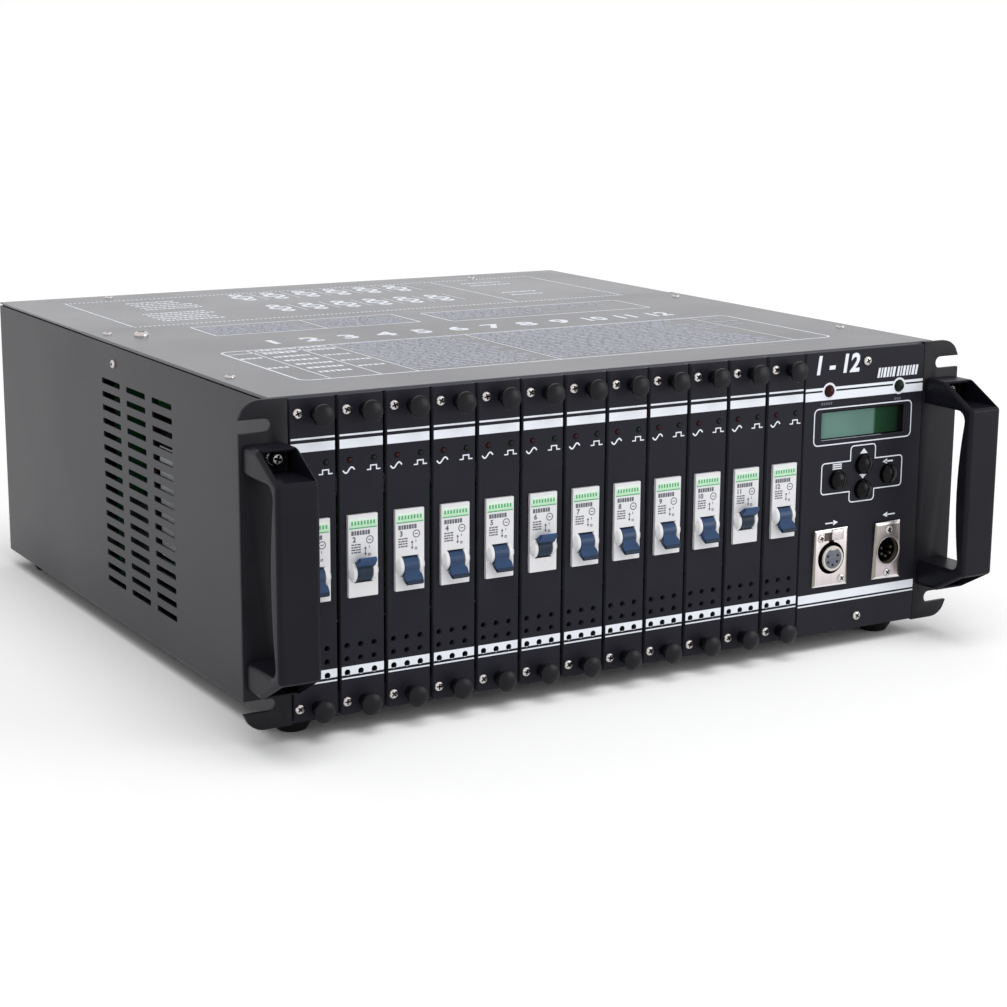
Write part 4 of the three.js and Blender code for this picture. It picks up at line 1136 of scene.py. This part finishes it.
# Rear panel with its outlets and the cable gland
SOCKET_Z = (61.6, 119.6)
SOCKET_PITCH = 52
SOCKET_X = [(i - 3.5) * SOCKET_PITCH for i in range(6)]
OUTLET_TOP = CHASSIS_DEPTH + 2.5
OUTLET_FLOOR = OUTLET_TOP - 17
GLAND = (-158.0, SOCKET_Z[0])


def rear_sheet_shape():
    holes = [circle(-x, z, 40, 32) for x in SOCKET_X for z in SOCKET_Z]
    holes.append(circle(*GLAND, 25.6, 32))
    plate = sheet(rectangle((-220.7, 220.7), (1.8, TRAY_TOP)), holes, CHASSIS_DEPTH - SHEET, CHASSIS_DEPTH, REAR)
    flange = block((-205.7, 205.7), (TRAY_TOP - SHEET, TRAY_TOP), (CHASSIS_DEPTH - 21.5, CHASSIS_DEPTH), plane=REAR)
    return together(plate, flange)


def outlet_shape():
    """One mains outlet, drawn round its own centre: a square face and a round well."""
    top, floor = OUTLET_TOP, OUTLET_FLOOR
    face = sheet(rectangle((-23.5, 23.5), (-23.5, 23.5), 4, 5), [circle(0, 0, 39, 48)], top - 2.5, top, REAR, 0.6)
    well = [(0, floor - 1.5), (20.6, floor - 1.5), (20.6, top - 2.4), (19.5, top - 0.6), (19.5, floor), (0, floor)]
    return together(face, turned(well, 0, 0, 48, REAR))


def outlet_metal():
    depths = (OUTLET_FLOOR + 0.1, OUTLET_TOP - 4)
    clips = [block((-3, 3), b, depths, 0.4, REAR) for b in ((-18.9, -17.6), (17.6, 18.9))]
    return together(screw(0, 0, OUTLET_FLOOR, REAR, 5, 1.2, 0.06), *clips)


def outlet_holes():
    floor = OUTLET_FLOOR
    rims = [ring(x, 0, 6.6, 0.8, floor, REAR, 0.5) for x in (-9.5, 9.5)]
    return together(*rims, *[bar(x, 0, 5.0, floor, floor + 0.1, plane=REAR) for x in (-9.5, 9.5)])


def gland_shape():
    """A threaded shank, a six-sided nut and a domed cap with ribs."""
    low = CHASSIS_DEPTH + SEAT
    shank = [(10, 440), (12.5, 440), (12.5, low), (12.5, 452), (10, 452)]
    dome = [
        (10, 456), (13.3, 456), (13.5, 456.6), (13.5, 466), (13.2, 468.5),
        (12.2, 471.5), (11.2, 474), (10.6, 474.3), (10, 474), (10, 456),
    ]
    nut = rounded(sheet(circle(*GLAND, 33, 6), [circle(*GLAND, 24, 40)], low, low + 6, REAR), 0.5, 2, 50)
    ribs = []
    for i in range(18):
        ribs.append(block(span(0, 1.2), (13.2, 13.9), (457.5, 466.5), 0.3, TOP))
        ribs[-1].transform(REAR @ Matrix.Translation((*GLAND, 0)) @ Matrix.Rotation(i / 18 * math.tau, 4, "Z"))
    return together(turned(shank, *GLAND, 40, REAR), nut, turned(dome, *GLAND, 40, REAR), *ribs)


piece("rear_sheet", rear_sheet_shape(), black_paint, ["rear_panel"])
outlet_places = [Matrix.Translation((x, 0, z)) for z in SOCKET_Z for x in SOCKET_X]
for name, shape, look, slot in (
    ("mains_outlets", outlet_shape(), moulding, "black_plastic"),
    ("outlet_clips", outlet_metal(), (nickel, painted_recess_shadow), "nickel"),
    ("outlet_contacts", outlet_holes(), dark_well, "black_plastic"),
):
    piece(name, together(*[moved(shape, place) for place in outlet_places]), look)
numbers = []
for row, z in enumerate(reversed(SOCKET_Z)):
    for column, x in enumerate(reversed(SOCKET_X)):
        numbers.append(figure(str(row * 6 + column + 1), 5, -x, z + 27.5, CHASSIS_DEPTH, REAR, 1, 0.12))
piece("outlet_numbers", together(*numbers), white_ink)
piece("gland_body", gland_shape(), moulding, ["cable_gland"])
rear_places = (
    (-214.5, 14, 0.02), (-214.5, 88, 0.1), (-214.5, 160, 0.05),
    (214.5, 14, 0.08), (214.5, 88, 0.16), (214.5, 160, 0.12),
)
piece("rear_screws", together(*screws(rear_places, CHASSIS_DEPTH, REAR, 5.4, 1.6)), SCREWS)

# Print on the covers. Small lettering is rows of short bars, drawn by chance within these blocks:
# ranges of x and y, pitch and height of the rows, the bars' shortest and longest, and the share of the width filled.
LINE_BARS = (4, 13)
WORD_BARS = (1.3, 3.4)
FRONT_TEXT = (
    ((-111, -23), (48, 157), 5.4, 3.2, LINE_BARS, 1),
    ((-18, 146), (48, 157), 5.4, 3.2, LINE_BARS, 1),
    ((-155, -85), (229, 264), 4.6, 2.8, LINE_BARS, 1),
    ((-79, -19), (229, 264), 4.6, 2.8, LINE_BARS, 1),
    ((7, 90), (222, 257), 4.8, 2.8, LINE_BARS, 1),
    ((95, 155), (236, 256), 6.2, 2.4, LINE_BARS, 0.8),
    ((152, 175), (116, 150), 14, 3.2, LINE_BARS, 0.7),
)
TABLE_TEXT = (
    ((-163, -140), (60, 146), 15, 5, (2, 3.4), 1),
    ((-134, -115), (66, 146), 22, 3.6, (1.6, 3), 1),
    ((-183, -169), (78, 132), 38, 4, (1.6, 3), 1),
    ((-163, -115), (150, 157), 12, 3.6, (2, 3.4), 1),
)
REAR_TEXT = (
    ((-160, -100), (300, 345), 9, 3.5, WORD_BARS, 0.8),
    ((-150, -95), (362, 402), 9, 3.5, WORD_BARS, 0.8),
    ((112, 170), (310, 340), 14, 3.5, WORD_BARS, 0.6),
    ((112, 170), (370, 400), 14, 3.5, WORD_BARS, 0.6),
)
dice = random.Random(12)


def text_rows(x, y, pitch, height, widths, fill):
    bars = []
    at = y[1]
    while at - height >= y[0]:
        pen = x[0]
        end = x[1] - (dice.random() * 0.2 + (1 - fill)) * (x[1] - x[0])
        while pen < end:
            width = dice.uniform(*widths)
            if pen + width > x[1]:
                break
            bars.append(ink((pen, pen + width), (at - height, at), 0, TOP))
            pen += width + dice.uniform(0.7, 1.1)
        at -= pitch
    return bars


def text_shape(blocks, level):
    rows = [text_rows(*text_block) for text_block in blocks]
    return moved(together(*sum(rows, [])), Matrix.Translation((0, 0, level)))


def cover_lines_shape():
    """Frames and a table's lines on the front cover, with the table's words."""
    c = PANEL_HEIGHT
    lines = [frame_line((-185, 179), (44, 160), 7, 1.5, c, TOP)]
    lines += [ink(span(x, 1.0), (45.4, 158.6), c, TOP) for x in (-167, -136, -113, -20, 149)]
    lines.append(ink((-183.6, -113.4), span(148, 1.4), c, TOP))
    lines.append(frame_line((-158, -15), (224, 268), 2, 1.3, c, TOP))
    lines.append(frame_line((3.5, 159), (216, 262), 2, 1.3, c, TOP))
    lines.append(ink(span(-82, 1.0), (225.2, 266.8), c, TOP))
    return together(*lines, text_shape(TABLE_TEXT, c))


def rear_print_shape():
    """Dotted frame, two rows of round signs with dividers, and rows of words."""
    level, dot, pitch = rear_cover_top, 1.7, 3.2
    first, step = -65, 24.5
    parts = []
    for y in (287.5, 419):
        x = -187.0
        while x < 182:
            parts.append(ink((x, x + dot), span(y, 2.4), level, TOP))
            x += pitch
    parts += [ink(span(x, 1.2), (288, 419), level, TOP) for x in (-187, 96, 182)]
    for y in (333, 397):
        for x in [first + column * step for column in range(6)]:
            parts.append(ring(x, y, 16, 3.2, level, TOP))
            parts += [ring(x, y + dy, 10, 3.0, level, TOP) for dy in (-13, 13)]
            parts.append(ink(span(x, 4.2), span(y, 2.2), level, TOP))
            parts.append(ink(span(x + 12.2, 0.9), (y - 17, y + 17), level, TOP))
    return together(*parts, text_shape(REAR_TEXT, level))


def cover_numbers_shape():
    return together(*[
        figure(str(n), 15.5, -138 + (n - 1) * 25.5, 184, PANEL_HEIGHT, TOP, 1.2 if n < 10 else 0.86, 0.7)
        for n in range(1, 13)
    ])


piece("front_cover_text", text_shape(FRONT_TEXT, PANEL_HEIGHT), text_ink)
piece("front_cover_lines", cover_lines_shape(), white_ink)
piece("cover_numbers", cover_numbers_shape(), white_ink)
piece("rear_cover_print", rear_print_shape(), white_ink)

# A white floor that keeps the shadow
floor_paint = bpy.data.materials.new("floor_white")
floor_paint.use_nodes = True
surface = floor_paint.node_tree.nodes["Principled BSDF"]
surface.inputs["Base Color"].default_value = (1, 1, 1, 1)
surface.inputs["Roughness"].default_value = 0.9
surface.inputs["Specular IOR Level"].default_value = 0.0
floor_shape = bmesh.new()
bmesh.ops.create_grid(floor_shape, x_segments=1, y_segments=1, size=30)
floor = linked("studio_floor", mesh_of(floor_shape, "studio_floor"))
floor.data.materials.append(floor_paint)

# White surroundings: half as strong for the light they give as for what is seen or mirrored
world = bpy.data.worlds.new("studio")
bpy.context.scene.world = world
world.use_nodes = True
tree = world.node_tree
ambient = tree.nodes["Background"]
ambient.inputs["Color"].default_value = (1, 1, 1, 1)
ambient.inputs["Strength"].default_value = 0.5
seen = add(tree, "Background", Color=(1, 1, 1, 1), Strength=1.0)
path = add(tree, "LightPath")
is_seen = path.outputs["Is Camera Ray"]
for ray in ("Is Glossy Ray", "Is Transmission Ray"):
    either = add(tree, "Math")
    either.operation = "MAXIMUM"
    tree.links.new(is_seen, either.inputs[0])
    tree.links.new(path.outputs[ray], either.inputs[1])
    is_seen = either.outputs[0]
choose = add(tree, "MixShader")
tree.links.new(is_seen, choose.inputs["Fac"])
tree.links.new(ambient.outputs[0], choose.inputs[1])
tree.links.new(seen.outputs[0], choose.inputs[2])
tree.links.new(choose.outputs[0], tree.nodes["World Output"].inputs["Surface"])

overhead = bpy.data.lights.new("overhead_diffuser", "SUN")
overhead.energy = 1.7
overhead.angle = math.radians(50)
side_box = bpy.data.lights.new("right_softbox", "AREA")
side_box.energy = 12
side_box.size = 1.2
for light, at, aim in ((overhead, (0, 0, 2), (0.05, 0.35, 1)), (side_box, (1.5, -1.8, 0.62), (0.1, -0.2, 0.1))):
    lamp = linked(light.name, light)
    lamp.location = at
    lamp.visible_glossy = light.type != "SUN"
    lamp.rotation_mode = "QUATERNION"
    lamp.rotation_quaternion = (Vector(aim) - Vector(at)).to_track_quat("-Z", "Y")

# Camera: metres and radians, its focal length in pixels of a picture PICTURE wide
PICTURE, FOCAL, SENSOR = 1007, 2129.63, 36
AZIMUTH, ELEVATION, ROLL = -0.5333, 0.2183, 0.007
CAMERA_AT = (-0.6651612, -1.1990991, 0.3699171)
camera_data = bpy.data.cameras.new("photo_view")
camera_data.sensor_width = SENSOR
camera_data.lens = FOCAL * SENSOR / PICTURE
camera_data.clip_end = 100
camera = linked("photo_view", camera_data)
bpy.context.scene.camera = camera
ahead = Vector((
    -math.sin(AZIMUTH) * math.cos(ELEVATION), math.cos(AZIMUTH) * math.cos(ELEVATION), -math.sin(ELEVATION),
))
level = ahead.cross(Vector((0, 0, 1))).normalized()
above = level.cross(ahead)
right = level * math.cos(ROLL) + above * math.sin(ROLL)
up = above * math.cos(ROLL) - level * math.sin(ROLL)
camera.matrix_world = Matrix.Translation(CAMERA_AT) @ Matrix((right, up, -ahead)).transposed().to_4x4()
bpy.context.scene.view_settings.view_transform = "Standard"
